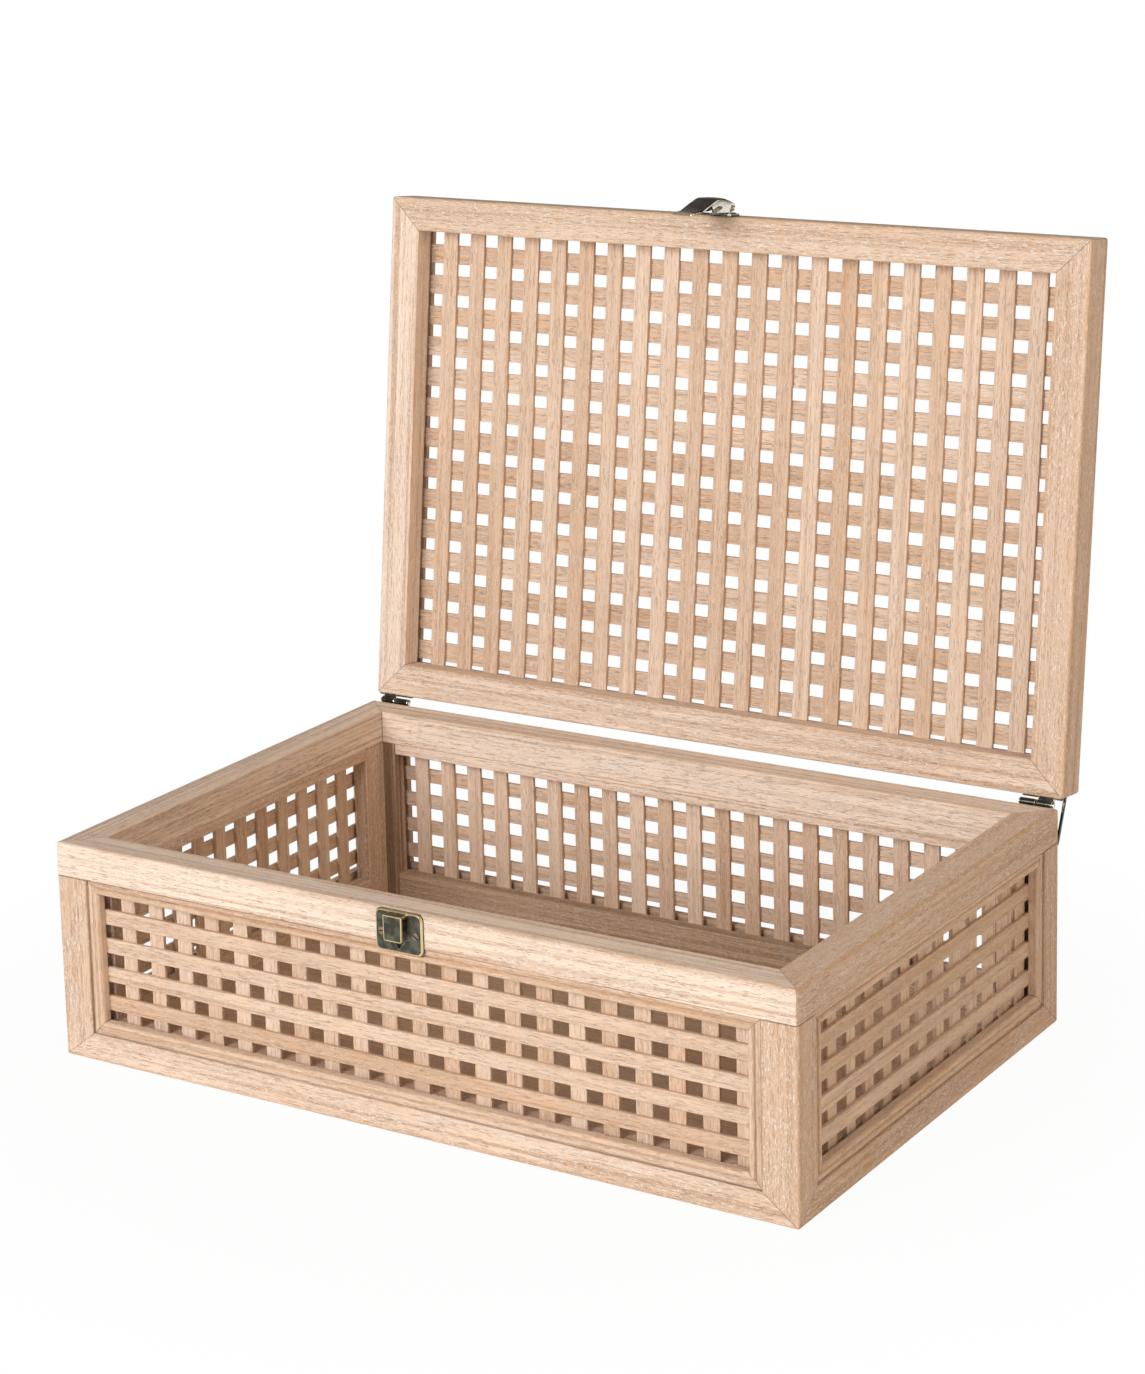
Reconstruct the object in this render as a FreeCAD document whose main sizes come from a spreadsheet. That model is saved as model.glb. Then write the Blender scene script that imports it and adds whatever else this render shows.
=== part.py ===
import FreeCAD
import Part
import os
import re
import Sketcher
from FreeCAD import Placement, Rotation, Vector

# Lattice lid box of pale wood: a body with four slatted walls under a mitred top ring, and a slatted
# lid on two back hinges, held by a lift-up hasp. All lengths are millimetres, +Z is up, the front
# faces -Y, and the origin is the centre of the underside. The lid stands open on its hinge stops.

SIZES = [
    # Overall box and its timber
    ("box_width", 380.0),
    ("box_depth", 257.0),
    ("box_height", 103.0),
    ("wall_thick", 16.5),
    ("rail_height", 16.0),
    ("edge_round", 1.4),
    ("glue_play", 0.1),
    # Wall frames, seen from outside and from inside
    ("post_face_long", 17.0),
    ("post_face_short", 16.0),
    ("post_inner_long", 24.0),
    ("post_inner_short", 32.0),
    ("foot_face", 13.5),
    ("foot_inner", 17.8),
    ("head_strip", 5.5),
    ("floor_thick", 5.0),
    ("floor_lap", 5.0),
    # Stepped moulding strip
    ("moulding_width", 6.0),
    ("moulding_back", 5.0),
    ("moulding_inset", 0.4),
    ("moulding_step", 0.5),
    ("moulding_flat", 2.2),
    ("moulding_groove", 0.9),
    ("groove_deep", 1.1),
    ("bead_chamfer", 0.7),
    # Wall lattice
    ("slat_thick", 2.0),
    ("wall_slat", 7.9),
    ("side_slat", 8.0),
    ("cross_slat", 7.1),
    ("long_first", 34.9),
    ("long_last", 27.7),
    ("short_first", 43.4),
    ("short_last", 25.9),
    ("cross_first", 27.7),
    ("cross_last", 17.8),
    # Lid
    ("lid_thick", 19.5),
    ("lid_rail", 16.6),
    ("lid_rail_face", 9.6),
    ("lid_recess", 11.5),
    ("lid_gap", 0.5),
    ("lid_slat", 8.3),
    ("lid_slat_edge", 29.0),
    ("lid_cross", 9.6),
    ("lid_cross_first", 23.2),
    ("lid_cross_last", 28.6),
    ("lid_moulding_back", 4.0),
    # Back hinges and their stop arms
    ("open_angle", 96.6),
    ("hinge_reach", 3.0),
    ("hinge_inset", 12.2),
    ("barrel_radius", 1.8),
    ("barrel_length", 16.4),
    ("barrel_gap", 0.3),
    ("leaf_thick", 1.0),
    ("leaf_height", 13.0),
    ("hinge_pin_radius", 0.9),
    ("pin_play", 0.05),
    ("pin_head", 0.6),
    ("pin_head_radius", 1.3),
    ("arm_thick", 1.1),
    ("arm_width", 2.0),
    ("arm_ear", 3.3),
    ("arm_seat", 6.3),
    ("arm_drop", 19.9),
    ("arm_heel", 0.3),
    ("stop_play", 0.3),
    # Wood screws
    ("screw_head_radius", 1.8),
    ("screw_head_deep", 0.9),
    ("screw_radius", 0.9),
    ("screw_length", 8.0),
    ("slot_width", 0.5),
    ("slot_deep", 0.35),
    # Catch plate and its hook
    ("catch_width", 24.2),
    ("catch_height", 19.0),
    ("catch_thick", 1.5),
    ("catch_corner", 2.2),
    ("catch_bevel", 0.7),
    ("catch_screw_side", 8.7),
    ("catch_screw_drop", 10.0),
    ("hook_width", 9.6),
    ("hook_height", 11.5),
    ("hook_drop", 0.8),
    ("hook_reach", 6.3),
    ("hook_thick", 1.2),
    ("hook_round", 0.7),
    ("window_head", 1.0),
    # Hasp on the lid: base plate, lever, wire loop
    ("base_width", 12.8),
    ("base_height", 7.8),
    ("base_thick", 1.4),
    ("base_rise", 0.8),
    ("base_corner", 1.1),
    ("knuckle_width", 9.6),
    ("knuckle_radius", 1.9),
    ("lever_pin_rise", 1.4),
    ("lever_pin_out", 4.4),
    ("lever_pin_radius", 0.8),
    ("lever_head_radius", 1.4),
    ("lever_width", 12.4),
    ("lever_sheet", 1.1),
    ("lever_flange", 1.0),
    ("flange_out", 2.1),
    ("flange_start", 1.0),
    ("flange_end", 19.5),
    ("flange_ramp", 2.5),
    ("lever_crown", 5.5),
    ("lever_top", 9.0),
    ("lever_upper", 3.0),
    ("lever_bend", 14.0),
    ("lever_slope_end", 28.5),
    ("lever_slope_out", 3.4),
    ("lever_tip", 38.0),
    ("lever_tip_out", 2.4),
    ("lip_width", 11.0),
    ("lip_lap", 0.5),
    ("loop_wire", 0.6),
    ("loop_half", 7.1),
    ("loop_pivot_drop", 11.0),
    ("loop_pivot_out", 5.0),
    ("loop_length", 10.1),
    ("loop_droop", 18.0),
    ("base_screw_side", 3.6),
    ("base_screw_rise", 5.9),
]
LONG_COUNT = 21
SHORT_COUNT = 12
CROSS_COUNT = 4
LID_COUNT = 21
LID_CROSS_COUNT = 14
# Length by which joined blocks run into each other, and cutters past what they cut.
OVERLAP = 1

doc = FreeCAD.newDocument("LatticeBox")
sheet = doc.addObject("Spreadsheet::Sheet", "Sizes")
for row, (alias, number) in enumerate(SIZES, start=1):
    sheet.set(f"A{row}", alias)
    sheet.set(f"B{row}", str(number))
    sheet.setAlias(f"B{row}", alias)
doc.recompute()

ALIAS = re.compile(r"\b(" + "|".join(alias for alias, _ in SIZES) + r")\b")
nodes = []


def named(text):
    """Expression in the sheet's names, from a formula written with the bare names."""
    return ALIAS.sub(r"Sizes.\1", str(text))


def value(text):
    """Number that a formula in the sheet's names comes to."""
    result = sheet.evalExpression(named(text))
    return float(getattr(result, "Value", result))


def bind(obj, **formulas):
    """Tie properties of one object to formulas in the sheet's names."""
    for prop, text in formulas.items():
        obj.setExpression(prop, named(text))
    return obj


def place(obj, x="0", y="0", z="0", axis=(0, 0, 1), turn="0"):
    """Tie an object's place to formulas, turned about an axis by an angle in degrees."""
    obj.Placement = Placement(Vector(0, 0, 0), Rotation(Vector(*axis), value(turn)))
    for key, text in (("x", x), ("y", y), ("z", z)):
        obj.setExpression(f".Placement.Base.{key}", named(text))
    if not isinstance(turn, (int, float)) and ALIAS.search(turn):
        obj.setExpression(".Placement.Rotation.Angle", named(f"({turn}) * 1 deg"))
    return obj


def box(name, x, y, z, dx, dy, dz):
    """Block from its low corner and its three sizes."""
    block = doc.addObject("Part::Box", name)
    bind(block, Length=dx, Width=dy, Height=dz)
    return place(block, x, y, z)


def wedge(name, low, high, y0, y1, z0, z1):
    """Block whose X span changes from low at y0 to high at y1."""
    block = doc.addObject("Part::Wedge", name)
    block.Xmin, block.Xmax, block.X2min, block.X2max = (value(t) for t in (*low, *high))
    block.Ymin, block.Ymax = value(y0), value(y1)
    block.Zmin, block.Zmax, block.Z2min, block.Z2max = (value(t) for t in (z0, z1, z0, z1))
    bind(block, Xmin=low[0], Xmax=low[1], X2min=high[0], X2max=high[1], Ymin=y0, Ymax=y1)
    return bind(block, Zmin=z0, Zmax=z1, Z2min=z0, Z2max=z1)


def cylinder(name, radius, length, x, y, z, axis=(0, 0, 1), turn="0"):
    """Round bar that starts at a point and runs along its own turned Z."""
    bar = doc.addObject("Part::Cylinder", name)
    bind(bar, Radius=radius, Height=length)
    return place(bar, x, y, z, axis, turn)


def ball(name, radius, x, y, z):
    """Ball at a point, for the round of a bent wire."""
    sphere = doc.addObject("Part::Sphere", name)
    bind(sphere, Radius=radius)
    return place(sphere, x, y, z)


def cut(name, base, tool):
    """First piece less the second."""
    result = doc.addObject("Part::Cut", name)
    result.Base, result.Tool = base, tool
    return result


def common(name, base, tool):
    """What two pieces share."""
    result = doc.addObject("Part::Common", name)
    result.Base, result.Tool = base, tool
    return result


def fuse(name, shapes):
    """Pieces joined into one."""
    result = doc.addObject("Part::MultiFuse", name)
    result.Shapes = shapes
    return result


def group(name, shapes):
    """Separate solids kept together as one sub-part."""
    result = doc.addObject("Part::Compound", name)
    result.Links = shapes
    return result


def node(obj, label):
    """List an object as a finished sub-part under its own label."""
    obj.Label = label
    nodes.append(obj)


def outline(owner, name, plane, points):
    """Closed sketch of straight runs through points given as pairs of formulas."""
    sketch = owner.newObject("Sketcher::SketchObject", name)
    for feature in owner.Origin.OriginFeatures:
        if feature.Role == plane:
            sketch.AttachmentSupport = (feature, "")
    sketch.MapMode = "FlatFace"
    spots = [Vector(value(a), value(b), 0) for a, b in points]
    count = len(points)
    for i in range(count):
        sketch.addGeometry(Part.LineSegment(spots[i], spots[(i + 1) % count]), False)
    for i in range(count):
        sketch.addConstraint(Sketcher.Constraint("Coincident", i, 2, (i + 1) % count, 1))
    for i, pair in enumerate(points):
        for kind, text in zip(("DistanceX", "DistanceY"), pair):
            spot = spots[i].x if kind == "DistanceX" else spots[i].y
            index = sketch.addConstraint(Sketcher.Constraint(kind, -1, 1, i, 1, spot))
            sketch.setExpression(f"Constraints[{index}]", named(text))
    return sketch


def body(name):
    """Empty sketched body."""
    return doc.addObject("PartDesign::Body", name)


def pad(owner, name, sketch, length, middle=False):
    """Sketch raised to a length, to both sides of its plane where middle is set."""
    feature = owner.newObject("PartDesign::Pad", name)
    feature.Profile = sketch
    feature.Midplane = middle
    bind(feature, Length=length)
    return feature


def pocket(owner, name, sketch, length):
    """Sketch sunk evenly to both sides of its plane."""
    feature = owner.newObject("PartDesign::Pocket", name)
    feature.Profile = sketch
    feature.Midplane = True
    bind(feature, Length=length)
    return feature


def rounded(name, base, radius, test):
    """Base with the edges that pass the test rounded."""
    doc.recompute()
    chosen = [i for i, edge in enumerate(base.Shape.Edges, start=1) if test(edge)]
    result = doc.addObject("Part::Fillet", name)
    result.Base = base
    result.Edges = [(i, value(radius), value(radius)) for i in chosen]
    return result


def along(direction):
    """Test for a straight edge that runs along a direction."""
    def test(edge):
        span = edge.Vertexes[-1].Point - edge.Vertexes[0].Point
        return span.Length > 0 and abs(span.normalize().dot(Vector(*direction))) > 0.999
    return test


def screw(name, x, y, z, axis, turn):
    """Slotted countersunk wood screw whose head face lies at a point, its shank along its own +Z."""
    head = doc.addObject("Part::Cone", name + "Head")
    bind(head, Radius1="screw_head_radius", Radius2="screw_radius", Height="screw_head_deep")
    shank = cylinder(name + "Shank", "screw_radius", "screw_length - screw_head_deep",
                     "0", "0", "screw_head_deep")
    slot = box(name + "Slot", "-screw_head_radius", "-slot_width / 2", "0",
               "2 * screw_head_radius", "slot_width", "slot_deep")
    return place(cut(name, fuse(name + "Blank", [head, shank]), slot), x, y, z, axis, turn)


def screw_bore(name, x, y, z, axis, turn):
    """Room for one screw: its countersink and its shank, with the fitting play."""
    sink = doc.addObject("Part::Cone", name + "Sink")
    bind(sink, Radius1="screw_head_radius + pin_play", Radius2="screw_radius + pin_play",
         Height="screw_head_deep")
    shank = cylinder(name + "Bore", "screw_radius + pin_play", "screw_length + pin_play", "0", "0", "0")
    return place(fuse(name, [sink, shank]), x, y, z, axis, turn)


# Walls: each is drawn once from its outer lower left corner, X along it, Y into it and Z up.
# Side, length, turn about Z, and the corner that it starts from.
WALL_TOP = "(box_height - rail_height)"
REBATE = "(moulding_back + 2 * slat_thick)"
WALLS = {
    "front": ("box_width", 0, "-box_width / 2", "-box_depth / 2"),
    "right": ("box_depth", 90, "box_width / 2", "-box_depth / 2"),
    "back": ("box_width", 180, "box_width / 2", "box_depth / 2"),
    "left": ("box_depth", 270, "-box_width / 2", "box_depth / 2"),
}


def wall_sizes(side):
    """Face width and inner width of a wall's posts."""
    if side in ("front", "back"):
        return "post_face_long", "post_inner_long"
    return "post_face_short", "post_inner_short"


def in_wall(obj, side):
    """Put a piece drawn in a wall's own frame where that wall stands."""
    _, turn, x, y = WALLS[side]
    return place(obj, x, y, "0", (0, 0, 1), str(turn))


def upright_wedge(name, low, high, z0, z1, depth):
    """Block whose X span changes with height, from the wall's face to a depth."""
    block = wedge(name, low, high, z0, z1, "0", depth)
    return place(block, "0", depth, "0", (1, 0, 0), "90")


def body_envelope():
    """Outer block of the body with its edges eased, which trims every outer piece."""
    block = box("BodyBlock", "-box_width / 2", "-box_depth / 2", "0", "box_width", "box_depth", "box_height")
    return rounded("BodyEnvelope", block, "edge_round", lambda edge: True)


def floor_panel():
    """Floor, let into a rebate round the underside of the walls."""
    lap = "(wall_thick - floor_lap + glue_play)"
    panel = box("FloorPanel", f"-box_width / 2 + {lap}", f"-box_depth / 2 + {lap}", "0",
                f"box_width - 2 * {lap}", f"box_depth - 2 * {lap}", "floor_thick")
    node(panel, "floor")


def floor_room():
    """Rebate that the floor lies in."""
    lap = "(wall_thick - floor_lap)"
    return box("FloorRoom", f"-box_width / 2 + {lap}", f"-box_depth / 2 + {lap}", f"-{OVERLAP}",
               f"box_width - 2 * {lap}", f"box_depth - 2 * {lap}", f"floor_thick + {OVERLAP}")


def top_rail(side, envelope, bores):
    """One mitred rail of the ring that crowns the walls."""
    length = WALLS[side][0]
    blank = wedge(f"RingBlank_{side}", ("0", length), ("wall_thick", f"{length} - wall_thick"),
                  "0", "wall_thick", WALL_TOP, "box_height")
    rail = common(f"Ring_{side}", in_wall(blank, side), envelope)
    if bores:
        rail = cut(f"RingBored_{side}", rail, group(f"RingBores_{side}", bores))
    node(rail, f"top_rail_{side}")


def post(side, end, envelope, room):
    """One upright of a wall, half lapped with the foot rail and mitred to it on the face."""
    length = WALLS[side][0]
    face, inner = wall_sizes(side)

    def span(a, b):
        return (a, b) if end == "left" else (f"{length} - {b}", f"{length} - {a}")

    tag = f"{side}_{end}"
    outer = wedge(f"PostFace_{tag}", span("0", face), span(REBATE, face), "0", REBATE, "0", WALL_TOP)
    back = wedge(f"PostBack_{tag}", span(REBATE, inner), span("wall_thick", inner),
                 REBATE, "wall_thick", "0", WALL_TOP)
    mitre = upright_wedge(f"PostMitre_{tag}", span("0", face), span(face, face), "0", "foot_face", REBATE)
    blank = cut(f"PostBlank_{tag}", fuse(f"PostWhole_{tag}", [outer, back]), mitre)
    shaped = common(f"PostShaped_{tag}", in_wall(blank, side), envelope)
    node(cut(f"Post_{tag}", shaped, room), f"post_{tag}")


def foot_rail(side, envelope, room):
    """Bottom rail of a wall, mitred on the face and square between the posts inside."""
    length = WALLS[side][0]
    face, inner = wall_sizes(side)
    outer = upright_wedge(f"FootFace_{side}", ("0", length), (face, f"{length} - {face}"),
                          "0", "foot_face", REBATE)
    back = box(f"FootBack_{side}", inner, REBATE, "0",
               f"{length} - 2 * {inner}", f"wall_thick - {REBATE}", "foot_inner")
    plan = wedge(f"FootPlan_{side}", ("0", length), ("wall_thick", f"{length} - wall_thick"),
                 "0", "wall_thick", "0", "foot_inner")
    blank = common(f"FootBlank_{side}", fuse(f"FootWhole_{side}", [outer, back]), plan)
    shaped = common(f"FootShaped_{side}", in_wall(blank, side), envelope)
    node(cut(f"Foot_{side}", shaped, room), f"foot_rail_{side}")


def head_rail(side):
    """Slim strip behind the lattice, under the ring, between the posts."""
    length = WALLS[side][0]
    _, inner = wall_sizes(side)
    strip = box(f"Head_{side}", "0", "0", "0", f"{length} - 2 * {inner}",
                f"wall_thick - {REBATE}", "head_strip")
    holder = group(f"HeadStrip_{side}", [strip])
    for key, text in (("x", inner), ("y", REBATE), ("z", f"{WALL_TOP} - head_strip")):
        strip.setExpression(f".Placement.Base.{key}", named(text))
    node(in_wall(holder, side), f"head_rail_{side}")


def moulding_profile(name, back):
    """Cross-section of the moulding: Y from its outer edge to its lip, Z out of the face."""
    owner = body(name)
    low = "(moulding_inset + moulding_step)"
    bead = "(moulding_flat + moulding_groove)"
    points = [
        ("0", f"-{back}"),
        ("moulding_width", f"-{back}"),
        ("moulding_width", "-moulding_inset - bead_chamfer"),
        ("moulding_width - bead_chamfer", "-moulding_inset"),
        (f"{bead} + bead_chamfer", "-moulding_inset"),
        (bead, f"-{low}"),
        ("moulding_flat + moulding_groove / 2", f"-{low} - groove_deep"),
        ("moulding_flat", f"-{low}"),
        ("0", f"-{low}"),
    ]
    return outline(owner, name + "Outline", "YZ_Plane", points)


def moulding_strip(name, profile, length, back, x, y, z, turn):
    """Mitred moulding strip that starts at a corner of its frame and runs along its own X."""
    run = doc.addObject("Part::Extrusion", name + "Run")
    run.Base = profile
    run.DirMode = "Custom"
    run.Dir = Vector(1, 0, 0)
    run.Solid = True
    bind(run, LengthFwd=length)
    mitre = wedge(name + "Mitre", ("0", length), ("moulding_width", f"{length} - moulding_width"),
                  "0", "moulding_width", f"-{back}", "0")
    return place(common(name, run, mitre), x, y, z, (0, 0, 1), str(turn))


def moulding_frame(name, profile, back, x0, y0, z, width, height):
    """Four mitred strips round an opening, in its own plane with Z out of the face."""
    return group(name, [
        moulding_strip(name + "Low", profile, width, back, x0, y0, z, 0),
        moulding_strip(name + "End", profile, height, back, f"{x0} + {width}", y0, z, 90),
        moulding_strip(name + "High", profile, width, back, f"{x0} + {width}", f"{y0} + {height}", z, 180),
        moulding_strip(name + "Start", profile, height, back, x0, f"{y0} + {height}", z, 270),
    ])


def wall_moulding(side, profile):
    """Moulding frame set into a wall's rebate over the lattice."""
    length = WALLS[side][0]
    face, _ = wall_sizes(side)
    frame = moulding_frame(f"Moulding_{side}", profile, "moulding_back",
                           f"({face} + glue_play)", "(foot_face + glue_play)", "0",
                           f"({length} - 2 * {face} - 2 * glue_play)",
                           f"({WALL_TOP} - foot_face - 2 * glue_play)")
    _, turn, x, y = WALLS[side]
    for key, text in (("x", x), ("y", y), ("z", "0")):
        frame.setExpression(f".Placement.Base.{key}", named(text))
    frame.Placement.Rotation = Rotation(Vector(0, 0, 1), turn) * Rotation(Vector(1, 0, 0), 90)
    node(frame, f"moulding_{side}")


def spaced(i, count, start, end):
    """Middle of one of some slats spread evenly from a start to an end."""
    return f"({start} + ({end} - {start}) * {i} / {count - 1})"


def wall_slats(side):
    """Outer slats along a wall and inner slats up it, each a flat strip in the rebate."""
    length = WALLS[side][0]
    face, _ = wall_sizes(side)
    across = []
    for i in range(CROSS_COUNT):
        middle = spaced(i, CROSS_COUNT, "cross_first", f"({WALL_TOP} - cross_last)")
        across.append(box(f"Across_{side}_{i + 1}", f"{face} + glue_play", "moulding_back",
                          f"{middle} - cross_slat / 2",
                          f"{length} - 2 * {face} - 2 * glue_play", "slat_thick", "cross_slat"))
    node(in_wall(group(f"AcrossSlats_{side}", across), side), f"slats_across_{side}")
    if side in ("front", "back"):
        count, width, first, last = LONG_COUNT, "wall_slat", "long_first", "long_last"
    else:
        count, width, first, last = SHORT_COUNT, "side_slat", "short_first", "short_last"
    upright = []
    for i in range(count):
        middle = spaced(i, count, first, f"({length} - {last})")
        if side in ("back", "left"):
            middle = f"({length} - {middle})"
        upright.append(box(f"Upright_{side}_{i + 1}", f"{middle} - {width} / 2",
                           "moulding_back + slat_thick", "foot_face + glue_play", width, "slat_thick",
                           f"{WALL_TOP} - foot_face - 2 * glue_play"))
    node(in_wall(group(f"UprightSlats_{side}", upright), side), f"slats_upright_{side}")


# Lid: drawn shut, in a frame whose origin is the hinge axis at mid width, then turned open.
LID_BACK = "(-hinge_reach)"
LID_FRONT = "(-hinge_reach - box_depth)"


def in_lid(obj):
    """Put a piece drawn in the shut lid's frame where the open lid stands."""
    return place(obj, "0", "box_depth / 2 + hinge_reach", "box_height", (-1, 0, 0), "open_angle")


def lid_envelope():
    """Outer block of the lid with its edges eased."""
    block = box("LidBlock", "-box_width / 2", LID_FRONT, "lid_gap", "box_width", "box_depth", "lid_thick")
    return rounded("LidEnvelope", block, "edge_round", lambda edge: True)


def lid_rail(side, envelope, bores):
    """Mitred lid rail, rebated from above for the lattice and the moulding."""
    length, turn, x, y = WALLS[side]
    inner = wedge(f"LidInner_{side}", ("0", length), ("lid_rail", f"{length} - lid_rail"),
                  "0", "lid_rail", "lid_gap", "lid_gap + lid_recess")
    face = wedge(f"LidFace_{side}", ("0", length), ("lid_rail_face", f"{length} - lid_rail_face"),
                 "0", "lid_rail_face", "lid_gap + lid_recess", "lid_gap + lid_thick")
    blank = fuse(f"LidBlank_{side}", [inner, face])
    place(blank, x, f"{y} - box_depth / 2 - hinge_reach", "0", (0, 0, 1), str(turn))
    rail = common(f"LidRailWhole_{side}", blank, envelope)
    if bores:
        rail = cut(f"LidRailBored_{side}", rail, group(f"LidBores_{side}", bores))
    node(in_lid(rail), f"lid_rail_{side}")


def lid_lattice():
    """Lid slats: an inner layer from front to back and an outer layer from side to side."""
    deep = []
    for i in range(LID_COUNT):
        middle = spaced(i, LID_COUNT, "(-box_width / 2 + lid_slat_edge)", "(box_width / 2 - lid_slat_edge)")
        deep.append(box(f"LidDeep_{i + 1}", f"{middle} - lid_slat / 2",
                        f"{LID_FRONT} + lid_rail_face + glue_play", "lid_gap + lid_recess", "lid_slat",
                        "box_depth - 2 * lid_rail_face - 2 * glue_play", "slat_thick"))
    node(in_lid(group("LidDeepSlats", deep)), "lid_slats_deep")
    wide = []
    for i in range(LID_CROSS_COUNT):
        middle = spaced(i, LID_CROSS_COUNT, f"({LID_BACK} - lid_cross_first)",
                        f"({LID_FRONT} + lid_cross_last)")
        wide.append(box(f"LidWide_{i + 1}", "-box_width / 2 + lid_rail_face + glue_play",
                        f"{middle} - lid_cross / 2",
                        "lid_gap + lid_recess + slat_thick",
                        "box_width - 2 * lid_rail_face - 2 * glue_play", "lid_cross", "slat_thick"))
    node(in_lid(group("LidWideSlats", wide)), "lid_slats_wide")


def lid_moulding():
    """Moulding frame in the top of the lid, over its lattice."""
    profile = moulding_profile("LidMouldingProfile", "lid_moulding_back")
    frame = moulding_frame("LidMoulding", profile, "lid_moulding_back",
                           "(-box_width / 2 + lid_rail_face + glue_play)",
                           f"({LID_FRONT} + lid_rail_face + glue_play)", "lid_gap + lid_thick",
                           "(box_width - 2 * lid_rail_face - 2 * glue_play)",
                           "(box_depth - 2 * lid_rail_face - 2 * glue_play)")
    node(in_lid(frame), "lid_moulding")


# Hinges: drawn about the axis at the outer end of the right one, and mirrored for the left one.
BARREL_MIDDLE = "(box_width / 2 - hinge_inset)"
KNUCKLE = "(barrel_length / 2 - barrel_gap / 2)"
LEAF_SCREWS = ("-barrel_length / 4", "barrel_length / 4")


def on_axis(obj):
    """Put a piece drawn about the hinge axis on the body."""
    return place(obj, "0", "box_depth / 2 + hinge_reach", "box_height")


def hinge_span(hand, low, width):
    """Low X of a stretch that starts low from the barrel's middle, on the right or left hinge."""
    if hand == "right":
        return f"{BARREL_MIDDLE} + {low}"
    return f"-{BARREL_MIDDLE} - ({low}) - ({width})"


def knuckle(name, hand, low):
    """Rolled knuckle about the hinge axis, before its bore."""
    return cylinder(name, "barrel_radius", KNUCKLE, hinge_span(hand, low, KNUCKLE), "0", "0", (0, 1, 0), "90")


def pin_bore(name, hand):
    """Bore for the hinge pin through both knuckles."""
    length = f"barrel_length + 2 * {OVERLAP}"
    start = hinge_span(hand, f"-barrel_length / 2 - {OVERLAP}", length)
    return cylinder(name, "hinge_pin_radius + pin_play", length, start, "0", "0", (0, 1, 0), "90")


def leaf_screw_spots(hand):
    """X of the two screws of one leaf."""
    sign = "" if hand == "right" else "-"
    return [f"{sign}{BARREL_MIDDLE} + {low}" for low in LEAF_SCREWS]


def body_leaf(hand):
    """Leaf on the back of the top ring, with the inboard knuckle."""
    tag = f"BodyLeaf_{hand}"
    plate = box(f"{tag}_Plate", hinge_span(hand, "-barrel_length / 2", "barrel_length"), "-hinge_reach",
                "-leaf_height", "barrel_length", "leaf_thick", "leaf_height - barrel_radius - barrel_gap")
    own = hinge_span(hand, "-barrel_length / 2", KNUCKLE)
    tab = box(f"{tag}_Tab", own, "-hinge_reach", f"-barrel_radius - barrel_gap - {OVERLAP}", KNUCKLE,
              "leaf_thick", f"barrel_gap + leaf_thick + {OVERLAP}")
    lip = box(f"{tag}_Lip", own, "-hinge_reach", "-barrel_radius", KNUCKLE, "hinge_reach", "leaf_thick")
    roll = knuckle(f"{tag}_Roll", hand, "-barrel_length / 2")
    bores = [pin_bore(f"{tag}_PinBore", hand)]
    for i, x in enumerate(leaf_screw_spots(hand), start=1):
        bores.append(screw_bore(f"{tag}_Bore{i}", x, "-hinge_reach + leaf_thick",
                                "-(leaf_height + barrel_radius) / 2", (1, 0, 0), "90"))
    leaf = cut(tag, fuse(f"{tag}_Whole", [plate, tab, lip, roll]), group(f"{tag}_Bores", bores))
    node(on_axis(leaf), f"hinge_{hand}_body_leaf")


def stop_arm(hand):
    """Flat arm that leaves the lid leaf outboard and bears on the body's back when the lid is open."""
    owner = body(f"StopArm_{hand}")
    lean = "(open_angle - 90) * 1 deg"
    root_y = (f"(arm_seat * cos({lean}) + hinge_reach * sin({lean}) "
              f"+ lid_gap * cos({lean}) - leaf_thick / 2 * sin({lean}))")
    root_z = (f"(hinge_reach * cos({lean}) - (arm_seat + lid_gap) * sin({lean}) "
              f"- leaf_thick / 2 * cos({lean}))")
    foot_y = "(arm_width / 2 + stop_play - hinge_reach + arm_heel)"
    foot_z = f"({root_z} - arm_drop)"
    half = "arm_width / 2"
    points = [
        (f"{root_y} - {half}", f"{root_z}"),
        (f"{root_y} + {half}", f"{root_z}"),
        (f"{foot_y} + {half}", f"{foot_z} + {half}"),
        (f"{foot_y} - arm_heel", f"{foot_z}"),
        (f"{foot_y} - {half} - arm_heel", f"{foot_z}"),
        (f"{foot_y} - {half} - arm_heel", f"{foot_z} + {half}"),
    ]
    sketch = outline(owner, f"StopArmOutline_{hand}", "YZ_Plane", points)
    pad(owner, f"StopArmPad_{hand}", sketch, "arm_thick")
    start = hinge_span(hand, "barrel_length / 2 + arm_ear - arm_thick", "arm_thick")
    return place(owner, start, "0", "0")


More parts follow.
